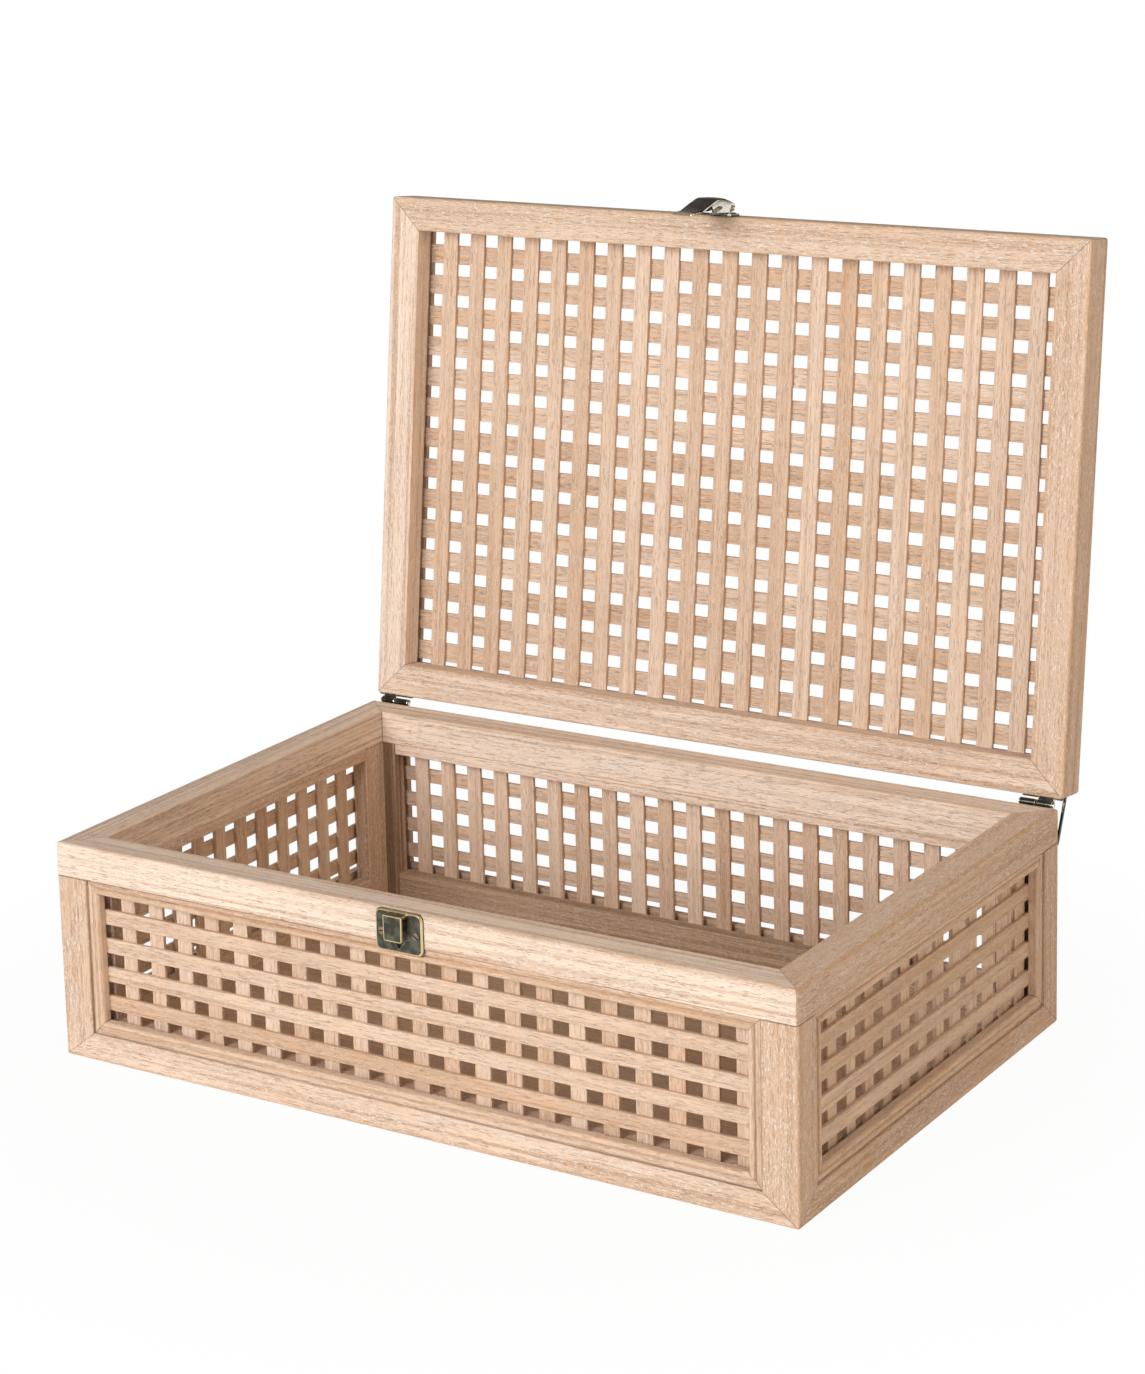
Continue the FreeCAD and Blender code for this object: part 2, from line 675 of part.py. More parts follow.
def lid_leaf(hand):
    """Leaf on the lid's back edge, with the outboard knuckle, an ear and the stop arm."""
    tag = f"LidLeaf_{hand}"
    plate = box(f"{tag}_Plate", hinge_span(hand, "-barrel_length / 2", "barrel_length"), "-hinge_reach",
                "barrel_radius + barrel_gap", "barrel_length", "leaf_thick",
                "leaf_height - barrel_radius - barrel_gap")
    own = hinge_span(hand, "barrel_gap / 2", KNUCKLE)
    tab = box(f"{tag}_Tab", own, "-hinge_reach", "barrel_radius - leaf_thick", KNUCKLE, "leaf_thick",
              f"barrel_gap + leaf_thick + {OVERLAP}")
    lip = box(f"{tag}_Lip", own, "-hinge_reach", "barrel_radius - leaf_thick", KNUCKLE, "hinge_reach",
              "leaf_thick")
    reach = f"arm_ear + {OVERLAP}"
    ear = box(f"{tag}_Ear", hinge_span(hand, f"barrel_length / 2 - {OVERLAP}", reach), "-hinge_reach",
              "arm_seat + lid_gap - arm_width / 2", reach, "leaf_thick", "arm_width")
    roll = knuckle(f"{tag}_Roll", hand, "barrel_gap / 2")
    turned = fuse(f"{tag}_Turned", [plate, tab, lip, ear, roll])
    bores = [pin_bore(f"{tag}_PinBore", hand)]
    for i, x in enumerate(leaf_screw_spots(hand), start=1):
        bores.append(screw_bore(f"{tag}_Bore{i}", x, "-hinge_reach + leaf_thick",
                                "(leaf_height + barrel_radius) / 2", (1, 0, 0), "90"))
    bored = cut(f"{tag}_Bored", turned, group(f"{tag}_Bores", bores))
    place(bored, "0", "0", "0", (-1, 0, 0), "open_angle")
    node(on_axis(fuse(tag, [bored, stop_arm(hand)])), f"hinge_{hand}_lid_leaf")


def hinge_pin(hand):
    """Pin through both knuckles, with a flat head at each end."""
    tag = f"HingePin_{hand}"
    shaft = cylinder(f"{tag}_Shaft", "hinge_pin_radius", "barrel_length + 2 * pin_head",
                     hinge_span(hand, "-barrel_length / 2 - pin_head", "barrel_length + 2 * pin_head"),
                     "0", "0", (0, 1, 0), "90")
    heads = []
    for i, low in enumerate(("-barrel_length / 2 - pin_head - pin_play", "barrel_length / 2 + pin_play")):
        heads.append(cylinder(f"{tag}_Head{i + 1}", "pin_head_radius", "pin_head",
                              hinge_span(hand, low, "pin_head"), "0", "0", (0, 1, 0), "90"))
    node(on_axis(fuse(tag, [shaft] + heads)), f"hinge_{hand}_pin")


def hinge_screws(hand):
    """Two screws through each leaf, into the ring and into the lid."""
    below = []
    above = []
    for i, x in enumerate(leaf_screw_spots(hand), start=1):
        below.append(screw(f"BodyScrew_{hand}_{i}", x, "-hinge_reach + leaf_thick",
                           "-(leaf_height + barrel_radius) / 2", (1, 0, 0), "90"))
        above.append(screw(f"LidScrew_{hand}_{i}", x, "-hinge_reach + leaf_thick",
                           "(leaf_height + barrel_radius) / 2", (1, 0, 0), "90"))
    node(on_axis(group(f"BodyScrews_{hand}", below)), f"hinge_{hand}_body_screws")
    node(in_lid(group(f"LidScrews_{hand}", above)), f"hinge_{hand}_lid_screws")


def hinge_bores(in_ring):
    """Screw bores of both hinges, for the back ring rail or for the back lid rail."""
    height = "-(leaf_height + barrel_radius) / 2" if in_ring else "(leaf_height + barrel_radius) / 2"
    tag = "Ring" if in_ring else "Lid"
    bores = []
    for hand in ("right", "left"):
        for i, x in enumerate(leaf_screw_spots(hand), start=1):
            y = "-hinge_reach + leaf_thick"
            z = height
            if in_ring:
                y = f"box_depth / 2 + hinge_reach + {y}"
                z = f"box_height + {height}"
            bores.append(screw_bore(f"{tag}HingeBore_{hand}_{i}", x, y, z, (1, 0, 0), "90"))
    return bores


# Catch: plate on the front of the ring with a hook that opens downward.
CATCH_FACE = "(-box_depth / 2 - catch_thick)"


def catch_bores(tag):
    """Bores of the two catch screws."""
    bores = []
    for i, sign in enumerate(("-", ""), start=1):
        bores.append(screw_bore(f"{tag}CatchBore{i}", f"{sign}catch_screw_side", CATCH_FACE,
                                "box_height - catch_screw_drop", (1, 0, 0), "-90"))
    return bores


def catch():
    """Bevelled catch plate with its folded hook, and its two screws."""
    flat = box("CatchFlat", "-catch_width / 2", CATCH_FACE, "box_height - catch_height",
               "catch_width", "catch_thick", "catch_height")
    plate = rounded("CatchCorners", flat, "catch_corner", along((0, 1, 0)))
    doc.recompute()
    face_y = value(CATCH_FACE)
    bevel = doc.addObject("Part::Chamfer", "CatchBevel")
    bevel.Base = plate
    edges = [i for i, edge in enumerate(plate.Shape.Edges, start=1)
             if abs(edge.BoundBox.YMin - face_y) < 1e-6 and abs(edge.BoundBox.YMax - face_y) < 1e-6]
    bevel.Edges = [(i, value("catch_bevel"), value("catch_bevel")) for i in edges]
    top = "(box_height - hook_drop)"
    roof = box("HookRoof", "-hook_width / 2", "-box_depth / 2 - hook_reach", f"{top} - hook_thick",
               "hook_width", "hook_reach - catch_thick / 2", "hook_thick")
    flap = box("HookFlap", "-hook_width / 2", "-box_depth / 2 - hook_reach", f"{top} - hook_height",
               "hook_width", "hook_thick", "hook_height")
    front_y = -value("box_depth / 2 + hook_reach")
    hook = rounded("HookEased", fuse("Hook", [roof, flap]), "hook_round",
                   lambda edge: along((1, 0, 0))(edge) and abs(edge.CenterOfMass.y - front_y) < 1e-6)
    window = box("CatchWindow", "-hook_width / 2", f"{CATCH_FACE} - {OVERLAP}", f"{top} - hook_height",
                 "hook_width", f"catch_thick + {OVERLAP}", "hook_height - hook_thick - window_head")
    bored = cut("CatchBored", bevel, group("CatchHoles", [window] + catch_bores("Plate")))
    node(fuse("Catch", [bored, hook]), "catch_plate")
    screws = []
    for i, sign in enumerate(("-", ""), start=1):
        screws.append(screw(f"CatchScrew{i}", f"{sign}catch_screw_side", CATCH_FACE,
                            "box_height - catch_screw_drop", (1, 0, 0), "-90"))
    node(group("CatchScrews", screws), "catch_screws")


# Hasp: in the shut lid's frame, out from the lid's front face and up from the lid's underside.
def out(text):
    """Y that lies a distance out from the lid's front face."""
    return f"({LID_FRONT} - ({text}))"


def rise(text):
    """Z that lies a height above the lid's underside."""
    return f"(lid_gap + ({text}))"


def cross_bar(name, radius, half, y, z):
    """Round bar centred across the hasp."""
    return cylinder(name, radius, f"2 * ({half})", f"-({half})", y, z, (0, 1, 0), "90")


def base_bores(tag):
    """Bores of the two hasp screws."""
    bores = []
    for i, sign in enumerate(("-", ""), start=1):
        bores.append(screw_bore(f"{tag}BaseBore{i}", f"{sign}base_screw_side", out("base_thick"),
                                rise("base_screw_rise"), (1, 0, 0), "-90"))
    return bores


def hasp_base():
    """Plate on the lid's front with one wide knuckle, and its two screws."""
    plate = box("BaseFlat", "-base_width / 2", out("base_thick"), rise("base_rise"),
                "base_width", "base_thick", "base_height")
    eased = rounded("BaseEased", plate, "base_corner", along((0, 1, 0)))
    web = box("BaseWeb", "-knuckle_width / 2", out("lever_pin_out"), rise("lever_pin_rise"),
              "knuckle_width", "lever_pin_out - base_thick / 2", "knuckle_radius")
    roll = cross_bar("BaseKnuckle", "knuckle_radius", "knuckle_width / 2",
                     out("lever_pin_out"), rise("lever_pin_rise"))
    bore = cross_bar("BasePinBore", "lever_pin_radius + pin_play", "knuckle_width",
                     out("lever_pin_out"), rise("lever_pin_rise"))
    holes = group("BaseHoles", [bore] + base_bores("Base"))
    node(in_lid(cut("HaspBase", fuse("BaseWhole", [eased, web, roll]), holes)), "hasp_base")
    screws = []
    for i, sign in enumerate(("-", ""), start=1):
        screws.append(screw(f"BaseScrew{i}", f"{sign}base_screw_side", out("base_thick"),
                            rise("base_screw_rise"), (1, 0, 0), "-90"))
    node(in_lid(group("BaseScrews", screws)), "hasp_screws")
    pin = cross_bar("LeverPinShaft", "lever_pin_radius", "lever_width / 2 + pin_head",
                    out("lever_pin_out"), rise("lever_pin_rise"))
    heads = []
    for name, x in (("A", "lever_width / 2 + pin_play"), ("B", "-lever_width / 2 - pin_play - pin_head")):
        heads.append(cylinder(f"LeverPinHead{name}", "lever_head_radius", "pin_head", x,
                              out("lever_pin_out"), rise("lever_pin_rise"), (0, 1, 0), "90"))
    node(in_lid(fuse("LeverPin", [pin] + heads)), "hasp_pin")


def lever():
    """Domed lever: a bent sheet with a deep flange down each side and a flat lip to lift it by."""
    shell = body("LeverShell")
    slope = "(lever_top - lever_slope_out) / (lever_slope_end - lever_bend)"
    points = [
        (out("lever_pin_out + knuckle_radius"), rise("lever_upper")),
        (out("lever_top"), rise("-lever_crown")),
        (out("lever_top"), rise("-lever_bend")),
        (out("lever_slope_out"), rise("-lever_slope_end")),
        (out("lever_slope_out - lever_sheet"), rise("-lever_slope_end")),
        (out(f"lever_top - lever_sheet - {slope} * (flange_end - lever_bend)"), rise("-flange_end")),
        (out("flange_out"), rise("flange_ramp - flange_end")),
        (out("flange_out"), rise("-flange_start")),
        (out("lever_pin_out - knuckle_radius"), rise("lever_pin_rise")),
        (out("lever_pin_out"), rise("lever_upper")),
    ]
    pad(shell, "ShellPad", outline(shell, "ShellOutline", "YZ_Plane", points), "lever_width", True)
    channel = [
        (out("lever_top - lever_sheet"), rise(f"lever_upper + {OVERLAP}")),
        (out("lever_top - lever_sheet"), rise("-lever_bend")),
        (out("lever_slope_out - lever_sheet"), rise("-lever_slope_end")),
        (out(f"flange_out - {OVERLAP}"), rise("-lever_slope_end")),
        (out(f"flange_out - {OVERLAP}"), rise(f"lever_upper + {OVERLAP}")),
    ]
    pocket(shell, "ShellChannel", outline(shell, "ChannelOutline", "YZ_Plane", channel),
           "lever_width - 2 * lever_flange")
    lip = body("LeverLip")
    lip_points = [
        (out("lever_slope_out"), rise("-lever_slope_end + lip_lap")),
        (out("lever_slope_out"), rise("-lever_slope_end")),
        (out("lever_tip_out"), rise("-lever_tip")),
        (out("lever_tip_out - lever_sheet"), rise("-lever_tip")),
        (out("lever_slope_out - lever_sheet"), rise("-lever_slope_end")),
        (out("lever_slope_out - lever_sheet"), rise("-lever_slope_end + lip_lap")),
    ]
    pad(lip, "LipPad", outline(lip, "LipOutline", "YZ_Plane", lip_points), "lip_width", True)
    bores = group("LeverBores", [
        cross_bar("LeverPinBore", "lever_pin_radius + pin_play", "lever_width",
                  out("lever_pin_out"), rise("lever_pin_rise")),
        cross_bar("LoopBore", "loop_wire + pin_play", "lever_width",
                  out("loop_pivot_out"), rise("-loop_pivot_drop")),
    ])
    node(in_lid(cut("Lever", fuse("LeverWhole", [shell, lip]), bores)), "hasp_lever")


def loop():
    """Wire loop hung in the lever's flanges, with one cross bar that goes behind the hook."""
    far_y = out("loop_pivot_out - loop_length * sin(loop_droop * 1 deg)")
    far_z = rise("-loop_pivot_drop - loop_length * cos(loop_droop * 1 deg)")
    near_y = out("loop_pivot_out")
    near_z = rise("-loop_pivot_drop")
    pieces = [cross_bar("LoopBar", "loop_wire", "loop_half", far_y, far_z)]
    for name, sign in (("A", ""), ("B", "-")):
        x = f"{sign}loop_half"
        pieces.append(cylinder(f"LoopArm{name}", "loop_wire", "loop_length", x, near_y, near_z,
                               (1, 0, 0), "180 + loop_droop"))
        pieces.append(ball(f"LoopNear{name}", "loop_wire", x, near_y, near_z))
        pieces.append(ball(f"LoopFar{name}", "loop_wire", x, far_y, far_z))
        start = "lever_width / 2 - lever_flange" if name == "A" else "-loop_half"
        pieces.append(cylinder(f"LoopEnd{name}", "loop_wire", "loop_half - lever_width / 2 + lever_flange",
                               start, near_y, near_z, (0, 1, 0), "90"))
    node(in_lid(fuse("Loop", pieces)), "hasp_loop")


def build():
    """Build every sub-part."""
    envelope = body_envelope()
    room = floor_room()
    ring_bores = {"back": hinge_bores(True), "front": catch_bores("Ring")}
    lid_bores = {"back": hinge_bores(False), "front": base_bores("Lid")}
    profile = moulding_profile("WallMouldingProfile", "moulding_back")
    floor_panel()
    for side in WALLS:
        top_rail(side, envelope, ring_bores.get(side))
        for end in ("left", "right"):
            post(side, end, envelope, room)
        foot_rail(side, envelope, room)
        head_rail(side)
        wall_moulding(side, profile)
        wall_slats(side)
    shut_envelope = lid_envelope()
    for side in WALLS:
        lid_rail(side, shut_envelope, lid_bores.get(side))
    lid_lattice()
    lid_moulding()
    for hand in ("right", "left"):
        body_leaf(hand)
        lid_leaf(hand)
        hinge_pin(hand)
        hinge_screws(hand)
    catch()
    hasp_base()
    lever()
    loop()
    doc.recompute()


def check_and_export():
    """Stop on any failed object or shape, then write one file for each sub-part."""
    for obj in doc.Objects:
        if "Invalid" in obj.State or "Error" in obj.State:
            raise RuntimeError(f"{obj.Name} failed: {obj.State}")
    for obj in nodes:
        if obj.Shape.isNull() or not obj.Shape.isValid() or not obj.Shape.Solids:
            raise RuntimeError(f"{obj.Label} has no sound shape")
    os.makedirs("parts", exist_ok=True)
    for obj in nodes:
        obj.Shape.exportStep(os.path.join("parts", f"{obj.Label}.step"))
        box_size = obj.Shape.BoundBox
        print(f"{obj.Label}: {len(obj.Shape.Solids)} solids, {obj.Shape.Volume:.1f} mm3, "
              f"{box_size.XLength:.1f} x {box_size.YLength:.1f} x {box_size.ZLength:.1f} mm")
    print(f"{len(nodes)} sub-parts")


build()
check_and_export()
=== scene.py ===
"""Lattice lid box of pale limed oak with antique bronze fittings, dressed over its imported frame.

Sizes in the classes are millimetres. A mesh is turned into metres when it is made.
"""
import logging
from collections.abc import Callable, Sequence
from dataclasses import dataclass, field
from enum import Enum

import bpy
import numpy as np
from mathutils import Matrix


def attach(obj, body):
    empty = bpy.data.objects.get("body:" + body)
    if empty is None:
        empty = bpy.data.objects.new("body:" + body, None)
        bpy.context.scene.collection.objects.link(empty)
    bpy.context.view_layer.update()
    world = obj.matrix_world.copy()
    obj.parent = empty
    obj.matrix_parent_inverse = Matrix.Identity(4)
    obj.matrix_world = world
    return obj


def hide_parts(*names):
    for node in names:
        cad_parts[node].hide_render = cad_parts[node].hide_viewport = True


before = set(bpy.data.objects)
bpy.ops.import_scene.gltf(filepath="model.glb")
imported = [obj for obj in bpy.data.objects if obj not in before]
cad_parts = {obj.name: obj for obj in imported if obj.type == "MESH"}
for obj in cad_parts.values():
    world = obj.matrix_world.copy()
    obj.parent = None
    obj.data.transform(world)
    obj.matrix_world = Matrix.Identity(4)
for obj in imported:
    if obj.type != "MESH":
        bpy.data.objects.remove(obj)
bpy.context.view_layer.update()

MM = 0.001
SMOOTH_ANGLE = np.radians(32)

log = logging.getLogger("lattice_box")
Pair = tuple[float, float]
Triple = tuple[float, float, float]
Colour = Triple
Cut = Callable[[np.ndarray, np.ndarray], np.ndarray]
Placing = Callable[[np.ndarray], np.ndarray]
Steps = Sequence[Triple]


# Shaders

class Value:
    """A socket that carries a number, whose arithmetic adds Math nodes."""

    def __init__(self, shader: "Shader", socket: bpy.types.NodeSocket) -> None:
        """Wrap one output socket of a shader's tree."""
        self.shader = shader
        self.socket = socket

    def _math(self, operation: str, first: "Value | float", second: "Value | float" = 0.0) -> "Value":
        """Add one Math node.

        Args:
            operation: Name of the node's operation.
            first: Its first number or socket.
            second: Its second number or socket.

        Returns:
            The node's result.
        """
        made = self.shader.node("ShaderNodeMath", {"operation": operation}, {0: first, 1: second})
        return Value(self.shader, made.outputs[0])

    def __add__(self, other: "Value | float") -> "Value":
        """Sum."""
        return self._math("ADD", self, other)

    def __radd__(self, other: float) -> "Value":
        """Sum from the right."""
        return self._math("ADD", other, self)

    def __sub__(self, other: "Value | float") -> "Value":
        """Difference."""
        return self._math("SUBTRACT", self, other)

    def __rsub__(self, other: float) -> "Value":
        """Difference from the right."""
        return self._math("SUBTRACT", other, self)

    def __mul__(self, other: "Value | float") -> "Value":
        """Product."""
        return self._math("MULTIPLY", self, other)

    def __rmul__(self, other: float) -> "Value":
        """Product from the right."""
        return self._math("MULTIPLY", other, self)

    def at_least(self, other: "Value | float") -> "Value":
        """The larger of two numbers."""
        return self._math("MAXIMUM", self, other)

    def step(self, low: float, high: float) -> "Value":
        """Smooth step.

        Args:
            low: Number at which the step starts.
            high: Number at which it ends, which may be the lower one.

        Returns:
            0 before low and 1 past high, with a smooth rise between.
        """
        made = self.shader.node("ShaderNodeMapRange", {"interpolation_type": "SMOOTHSTEP"},
                                {"Value": self, "From Min": low, "From Max": high})
        return Value(self.shader, made.outputs["Result"])


class Shader:
    """Node tree of one material or world, with a method that adds any node."""

    def __init__(self, owner: bpy.types.Material | bpy.types.World) -> None:
        """Empty the tree of a new material or world."""
        self.owner = owner
        owner.use_nodes = True
        self.tree = owner.node_tree
        self.tree.nodes.clear()

    def node(self, kind: str, settings: dict | None = None, sockets: dict | None = None) -> bpy.types.Node:
        """Add a node.

        Args:
            kind: The node's type.
            settings: Its own settings, which are set first.
            sockets: A value or a link for each named or numbered input.

        Returns:
            The new node.
        """
        made = self.tree.nodes.new(kind)
        for key, setting in (settings or {}).items():
            setattr(made, key, setting)
        for key, given in (sockets or {}).items():
            socket = made.inputs[key]
            source = given.socket if isinstance(given, Value) else given
            if isinstance(source, bpy.types.NodeSocket):
                self.tree.links.new(source, socket)
            elif socket.type == "RGBA" and len(source) == 3:
                socket.default_value = (*source, 1.0)
            else:
                socket.default_value = source
        return made

    def vector(self, name: str) -> bpy.types.NodeSocket:
        """Vector that a mesh attribute holds."""
        return self.node("ShaderNodeAttribute", {"attribute_name": name}).outputs["Vector"]

    def number(self, name: str) -> Value:
        """Number that a mesh attribute holds."""
        return Value(self, self.node("ShaderNodeAttribute", {"attribute_name": name}).outputs["Fac"])

    def place(self) -> bpy.types.NodeSocket:
        """Object coordinates."""
        return self.node("ShaderNodeTexCoord").outputs["Object"]

    def stretched(self, vector: bpy.types.NodeSocket, scale: Triple) -> bpy.types.NodeSocket:
        """Vector times a scale on each axis."""
        made = self.node("ShaderNodeVectorMath", {"operation": "MULTIPLY"}, {0: vector, 1: scale})
        return made.outputs["Vector"]

    def noise(self, vector: bpy.types.NodeSocket, scale: Triple, detail: float = 2.0,
              rough: float = 0.5, bend: float = 0.0) -> Value:
        """Noise stretched along the axes.

        Args:
            vector: Coordinates in metres.
            scale: Waves a metre on each axis.
            detail: Octaves of finer noise.
            rough: Share of the finer octaves.
            bend: How far the pattern distorts itself.

        Returns:
            The noise, from about 0 to 1.
        """
        made = self.node("ShaderNodeTexNoise", None, {
            "Vector": self.stretched(vector, scale), "Scale": 1.0, "Detail": detail,
            "Roughness": rough, "Distortion": bend})
        return Value(self, made.outputs[0])

    def mix(self, share: Value | float, first: Colour | bpy.types.NodeSocket,
            second: Colour | bpy.types.NodeSocket) -> bpy.types.NodeSocket:
        """Mix of two colours.

        Args:
            share: Share of the second colour.
            first: Colour at 0.
            second: Colour at 1.

        Returns:
            The mixed colour.
        """
        made = self.node("ShaderNodeMix", {"data_type": "RGBA"}, {0: share, 6: first, 7: second})
        return made.outputs[2]

    def bump(self, height: Value, depth: float) -> bpy.types.NodeSocket:
        """Normal bent by a height, in metres at its full depth."""
        return self.node("ShaderNodeBump", None, {"Height": height, "Distance": depth}).outputs["Normal"]

    def finish(self, sockets: dict) -> bpy.types.Material:
        """Close the tree with a Principled shader.

        Args:
            sockets: Values and links of the shader's inputs.

        Returns:
            The material.
        """
        surface = self.node("ShaderNodeBsdfPrincipled", None, sockets)
        self.node("ShaderNodeOutputMaterial", None, {"Surface": surface.outputs["BSDF"]})
        return self.owner


@dataclass(frozen=True)
class Grain:
    """Noise over a board: waves a metre along and across it, octaves, share of the finer ones, bend."""

    along: float
    across: float
    detail: float = 3.0
    rough: float = 0.5
    bend: float = 0.0

    def noise(self, sh: Shader, place: bpy.types.NodeSocket) -> Value:
        """The noise in one shader, over a board's own coordinates."""
        return sh.noise(place, (self.along, self.across, self.across), self.detail, self.rough, self.bend)


@dataclass(frozen=True)
class WoodFinish:
    """Limed oak: long fine grain, short pale flecks, dark pores, warm worn arrises, dark joints and painted
    shade in the joints' dark colour.
    """

    name: str
    body: Colour
    pale: Colour
    line: Colour = (0.43, 0.245, 0.13)
    fleck: Colour = (0.90, 0.83, 0.775)
    arris: Colour = (0.70, 0.44, 0.24)
    # gap: dark colour of the joints, also used as painted shade on shaded inner layers and in the moulding's
    # groove.
    gap: Colour = (0.17, 0.095, 0.05)
    liming: float = 0.6
    lines: float = 0.62
    pores: float = 0.42
    spread: float = 0.35
    relief: float = 0.00028
    drift: Grain = Grain(7.0, 55.0, rough=0.55)
    bands: Grain = Grain(2.6, 260.0, rough=0.62, bend=0.3)
    streaks: Grain = Grain(5.0, 640.0, rough=0.6, bend=0.25)
    fine: Grain = Grain(30.0, 1700.0, rough=0.65, bend=0.1)
    pore: Grain = Grain(170.0, 2300.0, 1.0)
    lime: Grain = Grain(420.0, 1750.0, 2.0, 0.6, 1.3)
    cloud: Grain = Grain(30.0, 90.0, 1.0)
    pale_cut: Pair = (0.2, 0.85)
    band_cut: Pair = (0.5, 0.62)
    streak_cut: Pair = (0.5, 0.6)
    fine_cut: Pair = (0.5, 0.66)
    pore_cut: Pair = (0.6, 0.7)
    pit_cut: Pair = (0.6, 0.72)
    lime_cut: Pair = (0.48, 0.6)
    cloud_cut: Pair = (0.15, 0.55)
    rub_cut: Pair = (0.5, 0.8)
    scuff_cut: Pair = (0.5, 0.62)
    gap_cut: Pair = (0.35, 0.6)

    def material(self) -> bpy.types.Material:
        """Build the wood's node tree from the board's own grain coordinates."""
        sh = Shader(bpy.data.materials.new(self.name))
        grain = sh.vector("grain")
        tone, wear, seam = (sh.number(mark) for mark in ("tone", "wear", "seam"))
        drift, bands, streaks, fine, pore, lime, cloud = (
            kind.noise(sh, grain) for kind in (self.drift, self.bands, self.streaks, self.fine, self.pore,
                                               self.lime, self.cloud))
        pale_share = (drift * 0.7 + tone * self.spread + bands * 0.3).step(*self.pale_cut)
        colour = sh.mix(pale_share, self.body, self.pale)
        line_share = (bands.step(*self.band_cut) * 0.6 + streaks.step(*self.streak_cut) * 0.5
                      + fine.step(*self.fine_cut) * 0.25)
        colour = sh.mix(line_share * self.lines, colour, self.line)
        colour = sh.mix(pore.step(*self.pore_cut) * self.pores, colour, self.line)
        fleck_share = lime.step(*self.lime_cut) * cloud.step(*self.cloud_cut)
        colour = sh.mix(fleck_share * self.liming, colour, self.fleck)
        rub = wear * (cloud * 0.5 + streaks * 0.8).step(*self.rub_cut)
        colour = sh.mix(rub * 0.65, colour, self.arris)
        colour = sh.mix(wear * lime.step(*self.scuff_cut) * 0.35, colour, self.fleck)
        # Dark joints, and painted shade where the seam mark carries it.
        colour = sh.mix(seam * (0.35 + streaks.step(*self.gap_cut) * 0.6), colour, self.gap)
        height = fine * 0.5 + bands * 0.35 + fleck_share * 0.35 - pore.step(*self.pit_cut) * 0.7
        return sh.finish({
            "Base Color": colour,
            "Roughness": 0.64 + fine * 0.2 - fleck_share * 0.1,
            "Specular IOR Level": 0.25,
            "Normal": sh.bump(height, self.relief)})


@dataclass(frozen=True)
class MetalFinish:
    """Antique metal: a dark patina that is worn back to bright metal along its edges."""

    name: str
    patina: Colour
    bright: Colour
    worn: float = 0.85
    rough: float = 0.32
    relief: float = 0.00006
    cloud_waves: float = 240.0
    speck_waves: float = 1300.0

    def material(self) -> bpy.types.Material:
        """Build the metal's node tree."""
        sh = Shader(bpy.data.materials.new(self.name))
        place = sh.place()
        wear = sh.number("wear")
        cloud = sh.noise(place, (self.cloud_waves,) * 3, 4.0, 0.65)
        speck = sh.noise(place, (self.speck_waves,) * 3, 3.0, 0.6)
        rub = (wear * 1.3 + cloud * 0.6 + speck * 0.35 - 0.8).step(0.0, 0.5) * self.worn
        dull = sh.mix(cloud.step(0.4, 0.65), self.patina, tuple(2.6 * part for part in self.patina))
        dull = sh.mix(speck.step(0.56, 0.7) * 0.6, dull, tuple(0.35 * part for part in self.patina))
        return sh.finish({
            "Base Color": sh.mix(rub, dull, self.bright),
            "Metallic": 0.6 + rub * 0.4,
            "Roughness": self.rough + speck * 0.14 - rub * 0.12,
            "Normal": sh.bump(cloud + speck * 0.6, self.relief)})


class Slot(Enum):
    """Finishes by the record's slot names, each with the word that starts its pieces' names."""

    RAIL = ("rail_oak", "oak")
    MOULDING = ("moulding_oak", "oak")
    SLAT = ("slat_oak", "oak")
    PANEL = ("panel_oak", "oak")
    BRONZE = ("antique_bronze", "bronze")
    SCREW = ("screw_brass", "brass")


class Finishes:
    """Every material of the box, built once."""

    def __init__(self) -> None:
        """Build the materials."""
        finishes = {
            Slot.RAIL: WoodFinish("rail_oak", (0.66, 0.455, 0.315), (0.91, 0.745, 0.615)),
            Slot.MOULDING: WoodFinish("moulding_oak", (0.69, 0.475, 0.325), (0.80, 0.615, 0.475),
                                      liming=0.3, lines=0.5),
            Slot.SLAT: WoodFinish("slat_oak", (0.67, 0.465, 0.325), (0.81, 0.635, 0.50),
                                  liming=0.3, lines=0.5, spread=0.6),
            # The panel's colour, darker than the rails', is painted shade of the box's inside.
            Slot.PANEL: WoodFinish("panel_oak", (0.55, 0.36, 0.235), (0.64, 0.45, 0.315), liming=0.3),
            Slot.BRONZE: MetalFinish("antique_bronze", (0.046, 0.047, 0.034), (0.93, 0.72, 0.42)),
            Slot.SCREW: MetalFinish("screw_brass", (0.05, 0.043, 0.03), (0.66, 0.52, 0.33), 0.3, 0.28),
        }
        self.by_slot = {slot: finish.material() for slot, finish in finishes.items()}
        polished = MetalFinish("polished_bronze", (0.034, 0.032, 0.026), (0.92, 0.87, 0.76), rough=0.12)
        self.polished = {**self.by_slot, Slot.BRONZE: polished.material()}


# Surfaces

class Edge(Enum):
    """How a long edge is eased: set-backs of its points from the sharp corner, their wear, their seam."""

    SHARP = ((0.0,), (0.0,), (0.0,))
    ARRIS = ((0.85, 0.3), (0.0, 1.0), (0.0, 0.0))
    JOINED = ((0.7, 0.25), (0.0, 0.5), (0.0, 0.9))
    THIN = ((0.55, 0.22), (0.0, 1.0), (0.0, 0.0))
    SOFT = ((1.6, 0.8, 0.35), (0.0, 0.6, 1.0), (0.0, 0.0, 0.0))
    OUTER = ((2.6, 1.4, 1.05, 0.7, 0.35, 0.0), (0.0, 0.5, 1.0, 1.0, 1.0, 1.0), (0.0,) * 6)
    FOLD = ((0.6, 0.34, 0.12), (0.0, 0.6, 1.0), (0.0,) * 3)


